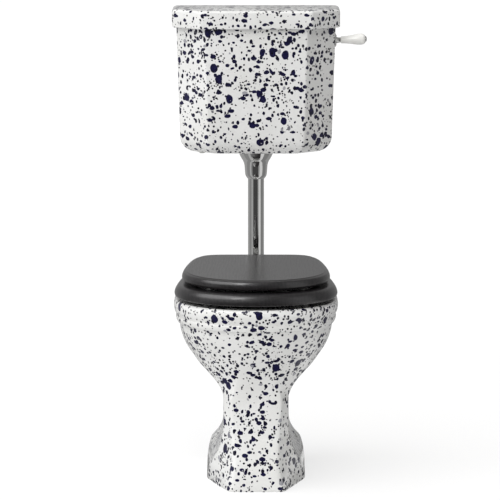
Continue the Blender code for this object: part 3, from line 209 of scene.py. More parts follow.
class Mixture:
    # One material; node() takes a type, the values or links of its sockets, and its settings.

    def __init__(self, name):
        self.material = bpy.data.materials.new(name)
        self.material.use_nodes = True
        self.tree = self.material.node_tree
        self.shader = self.tree.nodes["Principled BSDF"]
        self.place = self.node("ShaderNodeTexCoord", {})["Object"]

    def node(self, kind, sockets, **settings):
        made = self.tree.nodes.new(kind)
        for key, value in settings.items():
            setattr(made, key, value)
        for key, value in sockets.items():
            self.join(made.inputs[key], value)
        return Outputs(self, made)

    def join(self, socket, value):
        if isinstance(value, Wire):
            self.tree.links.new(value.socket, socket)
        else:
            socket.default_value = value

    def blend(self, factor, first, second):
        # Inputs 6 and 7 and output 2 are a Mix node's colours.
        return self.node("ShaderNodeMix", {0: factor, 6: first, 7: second}, data_type="RGBA")[2]

    def noise(self, scale, detail, stretch=(1, 1, 1), rough=0.5):
        moved = self.node("ShaderNodeVectorMath", {0: self.place, 1: stretch}, operation="MULTIPLY")[0]
        return self.node("ShaderNodeTexNoise", {"Vector": moved, "Scale": scale, "Detail": detail,
                                                "Roughness": rough})[0]

    def cloud(self, scale, detail, low, high):
        # Soft patches, 0 where the noise is under low and 1 where it is over high.
        return self.step(self.noise(scale, detail), low, high)

    def bent(self, where, scale, distance):
        # The place moved by up to half the distance along each axis.
        push = self.node("ShaderNodeTexNoise", {"Vector": where, "Scale": scale, "Detail": 1})["Color"]
        centred = self.node("ShaderNodeVectorMath", {0: push, 1: (0.5, 0.5, 0.5)},
                            operation="SUBTRACT")[0]
        return self.node("ShaderNodeVectorMath", {0: centred, 1: (distance,) * 3, 2: where},
                         operation="MULTIPLY_ADD")[0]

    def step(self, value, low, high):
        # Smooth ramp from 0 at low to 1 at high.
        return self.node("ShaderNodeMapRange", {"Value": value, "From Min": low, "From Max": high},
                         interpolation_type="SMOOTHSTEP")["Result"]

    def bump(self, height, distance, strength):
        return self.node("ShaderNodeBump", {"Height": height, "Distance": distance,
                                            "Strength": strength})["Normal"]

    def finish(self, **sockets):
        for key, value in sockets.items():
            self.join(self.shader.inputs[key.replace("_", " ")], value)
        return self.material


class Outputs:
    # The outputs of a node, by name or number.

    def __init__(self, mix, made):
        self.mix, self.made = mix, made

    def __getitem__(self, key):
        return Wire(self.mix, self.made.outputs[key])


# Glaze. Bends: scale and distance of each noise that makes the blots uneven; crowding: how much
# closer they stand in places; scatter: how far from a grid; edge: soft width, and growth with scale
glazeOptions = dict(white=(0.75, 0.75, 0.743, 1), shade=(0.70, 0.70, 0.685, 1),
                    ink=(0.005, 0.0045, 0.040, 1), darkInk=(0.002, 0.002, 0.008, 1),
                    paleInk=(0.16, 0.16, 0.22, 1), paleShare=0.05, roughness=0.13, inkRoughness=0.05,
                    bends=((65, 0.0050), (230, 0.0009)), crowding=0.22, edge=(0.010, 0.00006),
                    scatter=0.80, bumpDepth=0.0008, bumpStrength=0.35, coat=0.3, coatRoughness=0.06)
# Cells to a metre, stretch, turn, share of cells with a blot, least and greatest radius in cells
blotLayers = ((45, (1.0, 1.0, .8), .5, .21, .20, .43),
              (72, (.8, 1.0, 1.15), .9, .50, .24, .43),
              (100, (1.0, 1.0, .75), -.6, .58, .27, .42),
              (140, (1.0, .8, 1.0), .3, .36, .27, .38),
              (200, (1.0, 1.0, 1.0), .0, .15, .26, .34))


def greatest(values):
    top = values[0]
    for value in values[1:]:
        top = top.maths("MAXIMUM", value)
    return top


def splashedGlaze():
    # White glaze; blots are the insides of random balls about Voronoi points, bent by noise.
    o = glazeOptions
    mix = Mixture("splashed_glaze")
    where = mix.place
    for scale, distance in o["bends"]:
        where = mix.bent(where, scale, distance)
    crowd = mix.cloud(13, 2, 0.34, 0.66)
    full = 1 + o["crowding"] / 2
    layers = []
    for number, (scale, stretch, turn, share, least, most) in enumerate(blotLayers):
        moved = mix.node("ShaderNodeMapping", {"Vector": where, "Rotation": (0.3, turn, 0.2),
                                               "Location": (number * 3.7, number, 0),
                                               "Scale": stretch})[0]
        cells = mix.node("ShaderNodeTexVoronoi", {"Vector": moved, "Scale": scale,
                                                  "Randomness": o["scatter"]}, feature="F1")
        parts = mix.node("ShaderNodeSeparateColor", {0: cells["Color"]})
        grow = parts[0] + crowd * o["crowding"]
        reach = mix.step(grow, full - share, full - share + 0.02) * least
        reach = reach + mix.step(grow, full - share, full) * (most - least)
        soft = o["edge"][0] + o["edge"][1] * scale
        blot = mix.step(cells["Distance"] - reach, soft, -soft)
        faint = blot * mix.step(parts[1], o["paleShare"], o["paleShare"] - 0.01)
        speck = blot * min(1.0, scale / 150) * 0.8 + blot * parts[2] * 0.2
        layers.append((blot, faint, speck))
    cover, pale, small = (greatest(values) for values in zip(*layers))
    ink = mix.blend(mix.step(small, 0.35, 0.9), o["ink"], o["darkInk"])
    ink = mix.blend(mix.cloud(330, 2, 0.55, 0.78) * 0.15 + pale * 0.6, ink, o["paleInk"])
    ground = mix.blend(mix.cloud(9, 3, 0.35, 0.7), o["white"], o["shade"])
    colour = mix.blend(cover - pale * cover * 0.35, ground, ink)
    height = mix.noise(24, 2) + cover * 0.10
    return mix.finish(Base_Color=colour, Roughness=cover * o["inkRoughness"] + o["roughness"],
                      Normal=mix.bump(height, o["bumpDepth"], o["bumpStrength"]),
                      Coat_Weight=o["coat"], Coat_Roughness=o["coatRoughness"])


woodOptions = dict(dark=(0.006, 0.006, 0.0065, 1), light=(0.020, 0.0175, 0.019, 1),
                   pore=(0.003, 0.003, 0.003, 1), ringScale=42, drawnOut=0.16, roughness=0.30,
                   bumpDepth=0.0005, bumpStrength=0.3, coat=0.25, coatRoughness=0.20)


def stainedWood():
    # Bent bands for the board's rings, with fine fibres and open pores.
    o = woodOptions
    mix = Mixture("black_stained_wood")
    board = mix.node("ShaderNodeMapping", {"Vector": mix.place, "Rotation": (0.1, 0.06, 0.12),
                                           "Scale": (1.0, o["drawnOut"], 1.0)})[0]
    rings = mix.node("ShaderNodeTexWave", {"Vector": board, "Scale": o["ringScale"], "Detail": 3,
                                           "Distortion": 11, "Detail Scale": 0.7,
                                           "Detail Roughness": 0.6},
                     wave_type="BANDS", bands_direction="X")[1]
    grain = mix.noise(34, 6, (9, 0.55, 6), 0.62)
    fibre = mix.noise(260, 4, (6, 0.25, 5), 0.6)
    pores = mix.step(fibre, 0.58, 0.70) * mix.step(rings, 0.35, 0.75)
    tone = mix.step(grain * 0.88 + rings * 0.12, 0.27, 0.73)
    colour = mix.blend(pores * 0.5, mix.blend(tone, o["dark"], o["light"]), o["pore"])
    height = grain * 0.5 + rings * 0.02 - pores * 0.15
    return mix.finish(Base_Color=colour, Roughness=tone * 0.06 + pores * 0.04 + o["roughness"],
                      Normal=mix.bump(height, o["bumpDepth"], o["bumpStrength"]),
                      Coat_Weight=tone * 0.15 + o["coat"], Coat_Roughness=o["coatRoughness"])


chromeOptions = dict(clean=(0.70, 0.70, 0.69, 1), filmed=(0.60, 0.60, 0.59, 1), roughness=0.035)


def polishedChrome():
    # Mirror metal with a patchy film and fine marks drawn out upwards.
    o = chromeOptions
    mix = Mixture("polished_chrome")
    film = mix.cloud(34, 4, 0.4, 0.75)
    marks = mix.step(mix.noise(900, 2, (1, 1, 0.08)), 0.58, 0.8)
    return mix.finish(Base_Color=mix.blend(film * 0.4, o["clean"], o["filmed"]), Metallic=1.0,
                      Roughness=film * 0.05 + marks * 0.04 + o["roughness"],
                      Normal=mix.bump(mix.noise(40, 2), 0.0003, 0.15))


# Patchy finishes: scale, detail and bounds of the patches; two colours; roughness and what a patch
# adds; scale and detail of the bump; its depth and strength; metal or not
patchyFinishes = dict(
    plain_white_china=((60, 2, 0.3, 0.7), (0.82, 0.815, 0.79, 1), (0.78, 0.775, 0.75, 1),
                       (0.10, 0.04), (90, 2), (0.0004, 0.3), 0),
    satin_brass=((120, 4, 0.4, 0.7), (0.72, 0.52, 0.22, 1), (0.42, 0.29, 0.13, 1),
                 (0.24, 0.22), (500, 3), (0.0002, 0.3), 1),
    dark_rubber=((260, 5, 0.45, 0.75), (0.018, 0.018, 0.018, 1), (0.06, 0.058, 0.055, 1),
                 (0.55, 0.15), (900, 3), (0.0003, 0.4), 0),
    grey_plastic=((40, 3, 0.35, 0.7), (0.62, 0.62, 0.60, 1), (0.52, 0.52, 0.50, 1),
                  (0.38, 0.08), (700, 2), (0.0002, 0.35), 0),
    float_plastic=((40, 3, 0.35, 0.7), (0.50, 0.10, 0.06, 1), (0.40, 0.07, 0.04, 1),
                   (0.38, 0.08), (700, 2), (0.0002, 0.35), 0))


def patchy(name):
    patches, first, second, (rough, more), bumps, relief, metal = patchyFinishes[name]
    mix = Mixture(name)
    tone = mix.cloud(*patches)
    return mix.finish(Base_Color=mix.blend(tone, first, second), Metallic=metal,
                      Roughness=tone * more + rough, Normal=mix.bump(mix.noise(*bumps), *relief))


glaze = splashedGlaze()
finishOf = dict(china=patchy("plain_white_china"), seat_wood=stainedWood(), chrome=polishedChrome(),
                brass=patchy("satin_brass"), rubber=patchy("dark_rubber"),
                fittings_plastic=patchy("grey_plastic"), float_plastic=patchy("float_plastic"))
print("materials ready")

# Pan: an oval bowl that turns into a chamfered column
panOptions = dict(rim=0.421, half=0.1853, front=0.685, footBack=0.245, centre=0.500, deckBack=0.200,
                  deckStart=0.96, frontPower=2.1, rearPower=3.0, bowlHalf=0.135, bowlReach=0.150,
                  skirt=0.009, skirtBottom=0.385, skirtRound=0.0025, skirtRise=0.003,
                  channelRoof=0.408, wall=0.012, footHollow=0.085, rimRound=0.005, cornerBlur=1.9,
                  columns=256, finer=7, bowlFiner=6)
# Height, half width and front, of the pan's own; rear; column against egg; the column's front flat,
# corner and chamfer
panShares = np.array((
    (.000, .613, .8636, 0, 1.00, .335, .600, .330),
    (.010, .614, .8664, 0, 1.00, .332, .602, .325),
    (.069, .600, .8600, 0, 1.00, .300, .585, .270),
    (.133, .563, .8480, 0, 1.00, .275, .530, .200),
    (.178, .478, .8360, 0, 1.00, .265, .484, .150),
    (.223, .424, .8250, 0, 1.00, .267, .443, .120),
    (.245, .413, .8205, 0, 1.00, .270, .432, .108),
    (.266, .410, .8160, 0, 1.00, .273, .421, .098),
    (.287, .408, .8110, 0, 1.00, .277, .410, .090),
    (.311, .406, .8090, 0, 1.00, .281, .405, .083),
    (.354, .402, .8070, 0, 1.00, .287, .399, .075),
    (.487, .398, .8020, 0, 1.00, .303, .396, .068),
    (.530, .434, .8070, 0, .80, .303, .432, .070),
    (.572, .502, .8200, 0, .55, .303, .500, .072),
    (.618, .604, .8390, 0, .30, .303, .600, .075),
    (.660, .697, .8610, 0, .12, .303, .690, .080),
    (.705, .770, .8860, 0, .03, .303, .765, .080),
    (.748, .837, .9090, .148, .00, .303, .830, .080),
    (.793, .886, .9320, .148, .00, .303, .880, .080),
    (.836, .916, .9510, .148, .00, .303, .910, .080),
    (.878, .938, .9680, .148, .00, .303, .930, .080),
    (.881, .953, .9750, .148, .00, .303, .950, .080),
    (.912, .975, .9850, .148, .00, .303, .970, .080),
    (.915, .969, .9820, .148, .00, .303, .960, .080),
    (.943, .992, .9930, .148, .00, .303, .980, .080)))
rimShares = np.array(((.943, .992, .9930), (.969, 1.000, 1.0000), (.988, .996, .9980),
                      (1.000, .971, .9875)))
deckShares = (.12, .35, .65, .9)  # rings between the deck's edge and the bowl's mouth
# Inside of the bowl, from the channel down: height, half width, reach and shift to the rear
bowlShares = np.array(((.890, 1, 1, 0), (.836, .930, .930, 0),
                       (.748, .835, .855, .055), (.660, .645, .720, .080),
                       (.594, .470, .560, .125), (.523, .350, .430, .170),
                       (.428, .275, .335, .200), (.333, .205, .245, .225),
                       (.304, .125, .150, .230)))
# Turn at each place of the half outline, from the front to the rear, and the column's corners there
turnShares = (0, .045, .10, .165, .235, .31, .385, .45, .515, .58, .645, .715, .79, .855, .905,
              .955, 1)
cornerPlaces = (0, 2, 6, 12, 13, 16)
trapOptions = dict(radius=0.027, bend=0.042, leg=0.047, exit=0.048, slope=20, end=0.180)
spigotOptions = dict(face=0.190, height=0.1865, radius=0.0525, edge=0.0025, length=0.057,
                     socket=((0.036, 0.030), (0.026, 0.046)))
hornOptions = dict(face=0.185, height=0.378, radius=0.032, edge=0.002, length=0.150, bore=0.022,
                   boreLength=0.152)
screwOptions = dict(x=0.090, p=0.330, boss=0.013, bossTop=0.0865, bossInset=0.002, bossRows=12,
                    hole=0.0046, seat=0.026, well=0.0100, wellTop=0.130)
boltOptions = dict(x=0.0775, p=0.250, hole=0.006, bottom=0.39, length=0.04)


def ringPlaces():
    # Side, place and turn of each column; places count from the front to the rear on both sides.
    columns, steps = panOptions["columns"], len(turnShares) - 1
    place = np.arange(columns) * (2 * steps) / columns
    side = np.where(place <= steps, 1, -1)
    place = np.where(place <= steps, place, 2 * steps - place)
    return side, place, np.pi * np.interp(place, np.arange(steps + 1), turnShares)


def eggRing(half, front, rear, turn):
    # Superellipse whose front and rear halves have their own reach and power.
    o = panOptions
    ahead = np.cos(turn)
    power = np.where(ahead > 0, o["frontPower"], o["rearPower"])
    reach = np.where(ahead > 0, front - o["centre"], o["centre"] - rear)
    x = half * np.abs(np.sin(turn)) ** (2 / power)
    return x, o["centre"] + np.sign(ahead) * reach * np.abs(ahead) ** (2 / power)


def panRings(rows, inset=0.0):
    # The egg moves towards the chamfered column by the level's share; blurred corners.
    o = panOptions
    side, place, turn = ringPlaces()
    height, width, front, rear, column, flat, corner, chamfer = (rows[:, k:k + 1] for k in range(8))
    depth = o["front"] - o["footBack"]
    half = o["half"] * width - inset
    ahead = o["footBack"] + depth * front - inset
    behind = o["footBack"] + depth * rear + inset
    eggX, eggP = eggRing(half, ahead, behind, turn)
    edge = o["wall"]
    endsX = np.hstack([half * 0, o["half"] * flat - inset / 2, o["half"] * corner - inset, half,
                       half - edge, half * 0])
    endsP = np.hstack([ahead, ahead, ahead - depth * chamfer, behind + edge, behind, behind])
    weights = np.stack([np.interp(place, cornerPlaces, row) for row in np.eye(len(cornerPlaces))])
    blockX, blockP = blurred(endsX @ weights * side), blurred(endsP @ weights)
    x = eggX * side + (blockX - eggX * side) * column
    p = eggP + (blockP - eggP) * column
    return atWall(x, p, o["rim"] * height + 0 * x)


def blurred(values):
    # Bell-weighted mean along the ring, which rounds the column's corners.
    offsets = np.arange(-6, 7)
    bell = np.exp(-0.5 * (offsets / panOptions["cornerBlur"]) ** 2)
    return sum(w * np.roll(values, k, 1) for w, k in zip(bell / bell.sum(), offsets))


def finerRows(table, finer):
    # More levels between a table's own, each column a smooth curve over the first.
    at = np.interp(np.arange((len(table) - 1) * finer + 1) / finer, np.arange(len(table)), table[:, 0])
    return np.stack([at] + [monotone(at, table[:, 0], table[:, k])
                            for k in range(1, table.shape[1])], -1)


def ellipseRings(rows):
    # Ellipses given as half width, reach, centre and height, columns spaced as on the pan.
    side, place, turn = ringPlaces()
    half, reach, centre, height = (np.array(rows)[:, k:k + 1] for k in range(4))
    return atWall(half * np.sin(turn) * side, centre + reach * np.cos(turn), height + 0 * turn)


def deckRings():
    # The rim rises and turns in; above the deck's start its rear also draws in by the same amount.
    o = panOptions
    rim = finerRows(rimShares, o["finer"])
    side, place, turn = ringPlaces()
    tuck = o["half"] * (1 - rim[:, 1:2]) * (rim[:, :1] > o["deckStart"])
    front = o["footBack"] + (o["front"] - o["footBack"]) * rim[:, 2:3]
    x, p = eggRing(o["half"] * rim[:, 1:2], front, o["deckBack"] + tuck, turn)
    return atWall(x * side, p, o["rim"] * rim[:, :1] + 0 * x)


def bowlRings():
    # Down over the rounded mouth, round the hanging skirt, up into the channel and down the bowl.
    # The levels' heights are negated for finerRows, which needs them to rise.
    o = panOptions
    centre, low, roof, r = o["centre"], o["skirtBottom"], o["channelRoof"], o["rimRound"]
    soft, rise, out = o["skirtRound"], o["skirtRise"], o["skirt"]

    def ring(grow, z):
        return o["bowlHalf"] + grow, o["bowlReach"] + grow, centre, z

    mouth = [ring(r * (1 - math.sin(a)), o["rim"] - r * (1 - math.cos(a)))
             for a in np.radians([0, 22, 45, 68, 90])]
    half, reach = o["half"] - 2 * out, o["front"] - centre - out - o["wall"] / 2
    under = [ring(0, low + rise), ring(soft, low), ring(out - soft, low), ring(out, low + rise),
             ring(out, roof), (half, reach, centre, roof)]
    inner = [(half * h, reach * q, centre - reach * b, -o["rim"] * z)
             for z, h, q, b in finerRows(bowlShares * (-1, 1, 1, 1), o["bowlFiner"])]
    return ellipseRings(mouth), ellipseRings(under + inner)


def panShell():
    # One closed skin: up the hollow foot's inside, down it, up the outside, over the deck, inside.
    o = panOptions
    hollow = panRings(panShares[panShares[:, 0] * o["rim"] < o["footHollow"]], o["wall"])
    roof = hollow[-1:].copy()
    roof[..., 2] = o["footHollow"]
    outside, deck = panRings(finerRows(panShares, o["finer"])), deckRings()
    mouth, inside = bowlRings()
    top = deck[-1:] + (mouth[:1] - deck[-1:]) * np.array(deckShares)[:, None, None]
    rings = [np.concatenate([hollow, roof])[::-1], outside, deck, top, mouth, inside]
    return gridPiece("pan_china", np.concatenate(rings))


def trapTool():
    # The trapway dips, climbs over the weir and runs out to the rear.
    o, wall = trapOptions, panOptions["wall"]
    slope, tilt = math.radians(o["slope"]), o["slope"]
    reach, drop = o["bend"] * math.cos(slope), o["bend"] * math.sin(slope)
    humpP = panOptions["footBack"] + wall + o["radius"] + reach
    humpZ = spigotOptions["height"] + o["exit"] * (1 - math.sin(slope)) - drop
    dip = (humpP + 2 * reach + o["leg"] * math.sin(slope),
           humpZ + 2 * drop - o["leg"] * math.cos(slope))
    fall = arcPoints(dip, o["bend"], -tilt, tilt - 180, 20)
    rise = arcPoints((humpP, humpZ), o["bend"], tilt, 180 - tilt, 20)
    turned = rise[-1] + (-o["exit"] * math.cos(slope), o["exit"] * math.sin(slope))
    leave = arcPoints(turned, o["exit"], -tilt, -90, 10)[1:]
    route = np.vstack([fall, rise, leave, [(o["end"], leave[-1, 1])]])
    path = atWall(0 * route[:, 0], route[:, 0], route[:, 1])
    return gridPiece("trapTool", tubeGrid(path, o["radius"], 48))


def stub(name, o, sides):
    # A solid end pointing to the wall, with a bevelled rim.
    face, rear = o["radius"] - o["edge"], o["length"]
    profile = [(core, 0), (face, 0), (o["radius"], o["edge"]), (o["radius"], rear), (core, rear)]
    return turnedPiece(name, profile, atWall(0, o["face"], o["height"]), (0, -1, 0), sides)


def makePan():
    spigot, horn, screw, bolt = spigotOptions, hornOptions, screwOptions, boltOptions
    toFront, up = (0, -1, 0), (0, 0, 1)
    pan = panShell()
    extras = [stub("spigotTool", spigot, 72), stub("hornTool", horn, 64)]
    for side in (-1, 1):  # a boss round each floor screw, inside the pan's outer surface
        boss = turnedPiece("bossTool", [(screw["boss"], 0.0), (screw["boss"], screw["bossTop"])],
                           atWall(side * screw["x"], screw["p"], 0), up, 40, soft=0)
        keep = gridPiece("keepTool", panRings(panShares[:screw["bossRows"]], screw["bossInset"]))
        carve(boss, [keep], "INTERSECT")
        extras.append(boss)
    carve(pan, extras, "UNION")
    tools = [trapTool(), turnedPiece("inletTool", [(horn["bore"], 0), (horn["bore"], horn["boreLength"])],
                                     atWall(0, horn["face"] - overrun, horn["height"]), toFront, 48,
                                     soft=0)]
    for side in (-1, 1):
        tools.append(turnedPiece("boltTool", [(bolt["hole"], 0), (bolt["hole"], bolt["length"])],
                                 atWall(side * bolt["x"], bolt["p"], bolt["bottom"]), up, 32, soft=0))
        tools.append(turnedPiece("screwTool", [(screw["hole"], -overrun), (screw["hole"], screw["seat"]),
                                               (screw["well"], screw["seat"]),
                                               (screw["well"], screw["wellTop"])],
                                 atWall(side * screw["x"], screw["p"], 0), up, 32, soft=0))
    socket = [(spigot["socket"][0][0], -overrun / 2), *spigot["socket"]]
    tools.append(turnedPiece("socketTool", socket, atWall(0, spigot["face"], spigot["height"]),
                             toFront, 64))
    carve(pan, tools)
    settle(pan, "pan", glaze)


makePan()
print("pan ready")

# Tapered cistern. Insets of the back, right side, right chamfer, front, left chamfer and left side
# are shares of the bottom's rounding
cisternOptions = dict(bottom=0.710, top=1.030, halfTop=0.1875, halfBottom=0.1775, frontTop=0.192,
                      frontBottom=0.186, chamferWide=0.0665, chamferDeep=0.064, wall=0.009,
                      floor=0.012, sideRound=0.034, insets=(.2, 1.05, .8, .55, .8, 1.05),
                      floorInset=0.75, cornerRound=0.0085, cornerSteps=7, roundLevels=13,
                      sideLevels=12, holeBottom=0.70, holeLength=0.03)
# Radius, side and distance from the wall of each hole in the bottom, and the sides of its tool
bottomHoles = dict(siphon=(.0235, 0, .1, 48), valve=(.008, -.128, .048, 32))
leverHole = dict(radius=0.0143, half=0.018, p=0.100, height=0.9705, sides=48)
lidOptions = dict(skirtBottom=1.0037, topEdge=1.0465, crown=0.003, skirt=0.0075, gap=0.002,
                  back=0.0015, rest=0.0003, skirtRound=0.003, skirtLip=0.001, edgeRound=0.006,
                  cornerShare=1.35, crownShare=1.9, acrossShare=1.8)
# Shares of the depth inwards and of the crown's rise at which the lid's top has rings
crownShares = ((.09, .34), (.14, .52), (.20, .67), (.27, .80), (.34, .92), (.40, .98),
               (.44, 1.0))


def insetPolygon(corners, insets):
    # Each side moves inwards by its own amount; neighbours are crossed again.
    corners = np.array(corners, float)
    along = np.roll(corners, -1, 0) - corners
    along /= np.linalg.norm(along, axis=1, keepdims=True)
    inward = np.stack([-along[:, 1], along[:, 0]], -1)
    flip = np.sign(((corners.mean(0) - corners) * inward).sum(1))[:, None]
    start = corners + inward * flip * np.array(insets, float)[:, None]
    before, u = np.roll(start, 1, 0), np.roll(along, 1, 0)
    cross = u[:, 0] * along[:, 1] - u[:, 1] * along[:, 0]
    gap = start - before
    reach = (gap[:, 0] * along[:, 1] - gap[:, 1] * along[:, 0]) / cross
    return before + u * reach[:, None]


def roundedPolygon(corners, radius, steps, between=3):
    # Arcs tangent to both sides at each corner, with a few points along each straight side.
    back = np.roll(corners, 1, 0) - corners
    ahead = np.roll(corners, -1, 0) - corners
    back /= np.linalg.norm(back, axis=1, keepdims=True)
    ahead /= np.linalg.norm(ahead, axis=1, keepdims=True)
    half = np.arccos(np.clip((back * ahead).sum(1), -1, 1)) / 2
    middle = back + ahead
    middle /= np.linalg.norm(middle, axis=1, keepdims=True)
    centre = corners + middle * (radius / np.sin(half))[:, None]
    first = corners + back * (radius / np.tan(half))[:, None] - centre
    last = corners + ahead * (radius / np.tan(half))[:, None] - centre
    sweep = np.arctan2(first[:, 0] * last[:, 1] - first[:, 1] * last[:, 0], (first * last).sum(1))
    turn = sweep[:, None] * np.linspace(0, 1, steps + 1)
    cos, sin = np.cos(turn), np.sin(turn)
    arcs = np.stack([cos * first[:, :1] - sin * first[:, 1:], sin * first[:, :1] + cos * first[:, 1:]],
                    -1) + centre[:, None]
    share = np.linspace(0, 1, between + 2)[1:-1, None]
    end = arcs[:, -1:, :]
    begin = np.roll(arcs[:, :1, :], -1, 0)
    straight = end + (begin - end) * share
    return np.concatenate([arcs, straight], 1).reshape(-1, 2)


def cisternRing(half, front, z, insets, radius):
    # The six-cornered plan at one height, each side moved in by its inset, corners rounded.
    o = cisternOptions
    corners = [(-half, 0), (half, 0), (half, front - o["chamferDeep"]),
               (half - o["chamferWide"], front), (o["chamferWide"] - half, front),
               (-half, front - o["chamferDeep"])]
    line = roundedPolygon(insetPolygon(corners, insets), radius, o["cornerSteps"])
    return atWall(line[:, 0], line[:, 1], z)


def cisternSize(z):
    # Half width and depth at a height, on straight lines from bottom to top.
    o = cisternOptions
    share = (z - o["bottom"]) / (o["top"] - o["bottom"])
    return (o["halfBottom"] + (o["halfTop"] - o["halfBottom"]) * share,
            o["frontBottom"] + (o["frontTop"] - o["frontBottom"]) * share)


def leverCentre():
    # Middle of the side wall's thickness at the lever, and the wall's outward direction.
    o, hole = cisternOptions, leverHole
    lean = (o["halfTop"] - o["halfBottom"]) / (o["top"] - o["bottom"])
    outward = np.array([1, 0, -lean]) / math.hypot(1, lean)
    surface = atWall(cisternSize(hole["height"])[0], hole["p"], hole["height"])
    return surface - outward * o["wall"] / 2, outward


def makeCistern():
    # Up the rounded bottom and the sides, over the top edge, down the inside to the floor.
    o, hole = cisternOptions, leverHole
    level = (0,) * len(o["insets"])
    inner, floor = o["cornerRound"] / 2, o["bottom"] + o["floor"]
    rings = []
    for turn in np.linspace(0, np.pi / 2, o["roundLevels"]):
        z = o["bottom"] + o["sideRound"] * (1 - math.cos(turn))
        side = o["sideRound"] * (1 - math.sin(turn))
        insets = [side * share for share in o["insets"]]
        rings.append(cisternRing(*cisternSize(z), z, insets, o["cornerRound"]))
    for z in np.linspace(o["bottom"] + o["sideRound"], o["top"], o["sideLevels"])[1:]:
        rings.append(cisternRing(*cisternSize(z), z, level, o["cornerRound"]))
    for z, inset in ((o["top"], o["wall"]), (floor + o["sideRound"] / 2, o["wall"]),
                     (floor, o["sideRound"] * o["floorInset"])):
        rings.append(cisternRing(*cisternSize(z), z, (inset,) * len(level), inner))
    body = gridPiece("cistern_china", np.array(rings))
    tools = [turnedPiece(name + "Tool", [(radius, 0), (radius, o["holeLength"])],
                         atWall(x, p, o["holeBottom"]), (0, 0, 1), sides, soft=0)
             for name, (radius, x, p, sides) in bottomHoles.items()]
    tools.append(turnedPiece("leverTool", [(hole["radius"], -hole["half"]), (hole["radius"], hole["half"])],
                             *leverCentre(), hole["sides"], soft=0))
    carve(body, tools)
    settle(body, "cistern_body", glaze)


def lidRing(grow, z, inset, radius, behind=0.0):
    # The cistern's plan at its top, grown all round and moved in by the inset, sides more.
    o = lidOptions
    half, front = cisternSize(cisternOptions["top"])
    across = inset + min(inset, o["edgeRound"]) * (o["acrossShare"] - 1)
    insets = (o["back"] + inset + behind, across, inset, inset, inset, across)
    return cisternRing(half + grow, front + grow, z, insets, radius)


def makeLid():
    # Down the skirt's inside, round its lip, up the outside, over the edge and in to the crown.
    o, c = lidOptions, cisternOptions
    half, front = cisternSize(c["top"])
    out, edge, low = o["gap"] + o["skirt"], o["edgeRound"], o["skirtBottom"]
    outer, lip = c["cornerRound"] * o["cornerShare"], o["skirtRound"]
    ceiling = c["top"] + o["rest"]
    rings = [lidRing(o["gap"], z, 0, c["cornerRound"], o["skirt"])
             for z in (ceiling, low + o["skirtLip"])]
    for turn in np.linspace(0, np.pi / 2, 5):
        rings.append(lidRing(out, low + lip * (1 - math.cos(turn)), lip * (1 - math.sin(turn)), outer))
    for turn in np.radians(np.linspace(0, 86, 10)):
        rings.append(lidRing(out, o["topEdge"] - edge * (1 - math.sin(turn)),
                             edge * (1 - math.cos(turn)), outer))
    for share, rise in crownShares:
        rings.append(lidRing(out, o["topEdge"] + o["crown"] * rise, front * share,
                             outer * (1 - o["crownShare"] * share)))
    lid = gridPiece("cistern_lid_china", np.array(rings))

    # A block cuts the skirt's rear quarter open
    block = bpy.data.meshes.new("notch")
    shell = bmesh.new()
    size = Vector((2 * (half + o["gap"]), front / 4 + overrun, ceiling - low + overrun))
    middle = Vector((0, wallY - front / 8 + overrun / 2, (ceiling + low - overrun) / 2))
    bmesh.ops.create_cube(shell, size=1,
                          matrix=Matrix.Translation(middle) @ Matrix.Diagonal(size).to_4x4())
    shell.to_mesh(block)
    shell.free()
    carve(lid, [addPiece("notchTool", block)])
    settle(lid, "cistern_lid", glaze)


makeCistern()
makeLid()
print("cistern ready")

# Seat ring and lid. A corner is the power of the rear half and the share of width that it loses
seatOptions = dict(ringBottom=0.429, ringThick=0.028, ringHalf=0.184, ringRear=0.262,
                   ringFront=0.683, holeHalf=0.118, holeFront=0.632, holeRear=0.372,
                   ringSoft=0.008, lidBottom=0.463, lidHalf=0.167, lidRear=0.252, lidFront=0.667,
                   lidSoft=0.0024, lidSharp=60, widestShare=0.60, frontPower=2.12,
                   squared=(8, 0.17), egg=(3.1, 0), columns=288)
# The ring's section, from the hole outwards and up, as shares of its breadth and thickness
ringShares = ((.00, .10), (.04, .00), (.92, .00), (.985, .13), (1.00, .34), (.965, .62),
              (.89, .87), (.76, 1.00), (.25, 1.00), (.05, .82))
# The lid's edge from below to above: inset from the outline and height
lidEdge = ((.060, .00), (.0040, .00), (.00, .0050), (.00, .0115), (.0030, .0188),
           (.0100, .0208), (.0112, .0220), (.060, .0220))


def seatOutline(half, front, rear, corner):
    # Superellipse quarters before and behind the widest line; behind it the width also loses a
    # share that grows with the power 1.5 of the way back. Points are spaced evenly.
    o = seatOptions
    power, taper = corner
    widest = rear + (front - rear) * o["widestShare"]
    turn = np.linspace(0, np.pi / 2, 400)
    back = 1 - np.linspace(1, 0, 1200)[1:] ** 4
    x = np.append(np.sin(turn) ** (2 / o["frontPower"]),
                  (1 - back ** power) ** (1 / power) * (1 - taper * back ** 1.5)) * half
    p = np.append(widest + (front - widest) * np.abs(np.cos(turn)) ** (2 / o["frontPower"]),
                  widest + (rear - widest) * back)
    length = np.append(0, np.cumsum(np.hypot(np.diff(x), np.diff(p))))
    even = np.linspace(0, length[-1], o["columns"] // 2 + 1)
    x, p = np.interp(even, length, x), np.interp(even, length, p)
    return np.append(x, -x[-2:0:-1]), np.append(p, p[-2:0:-1])


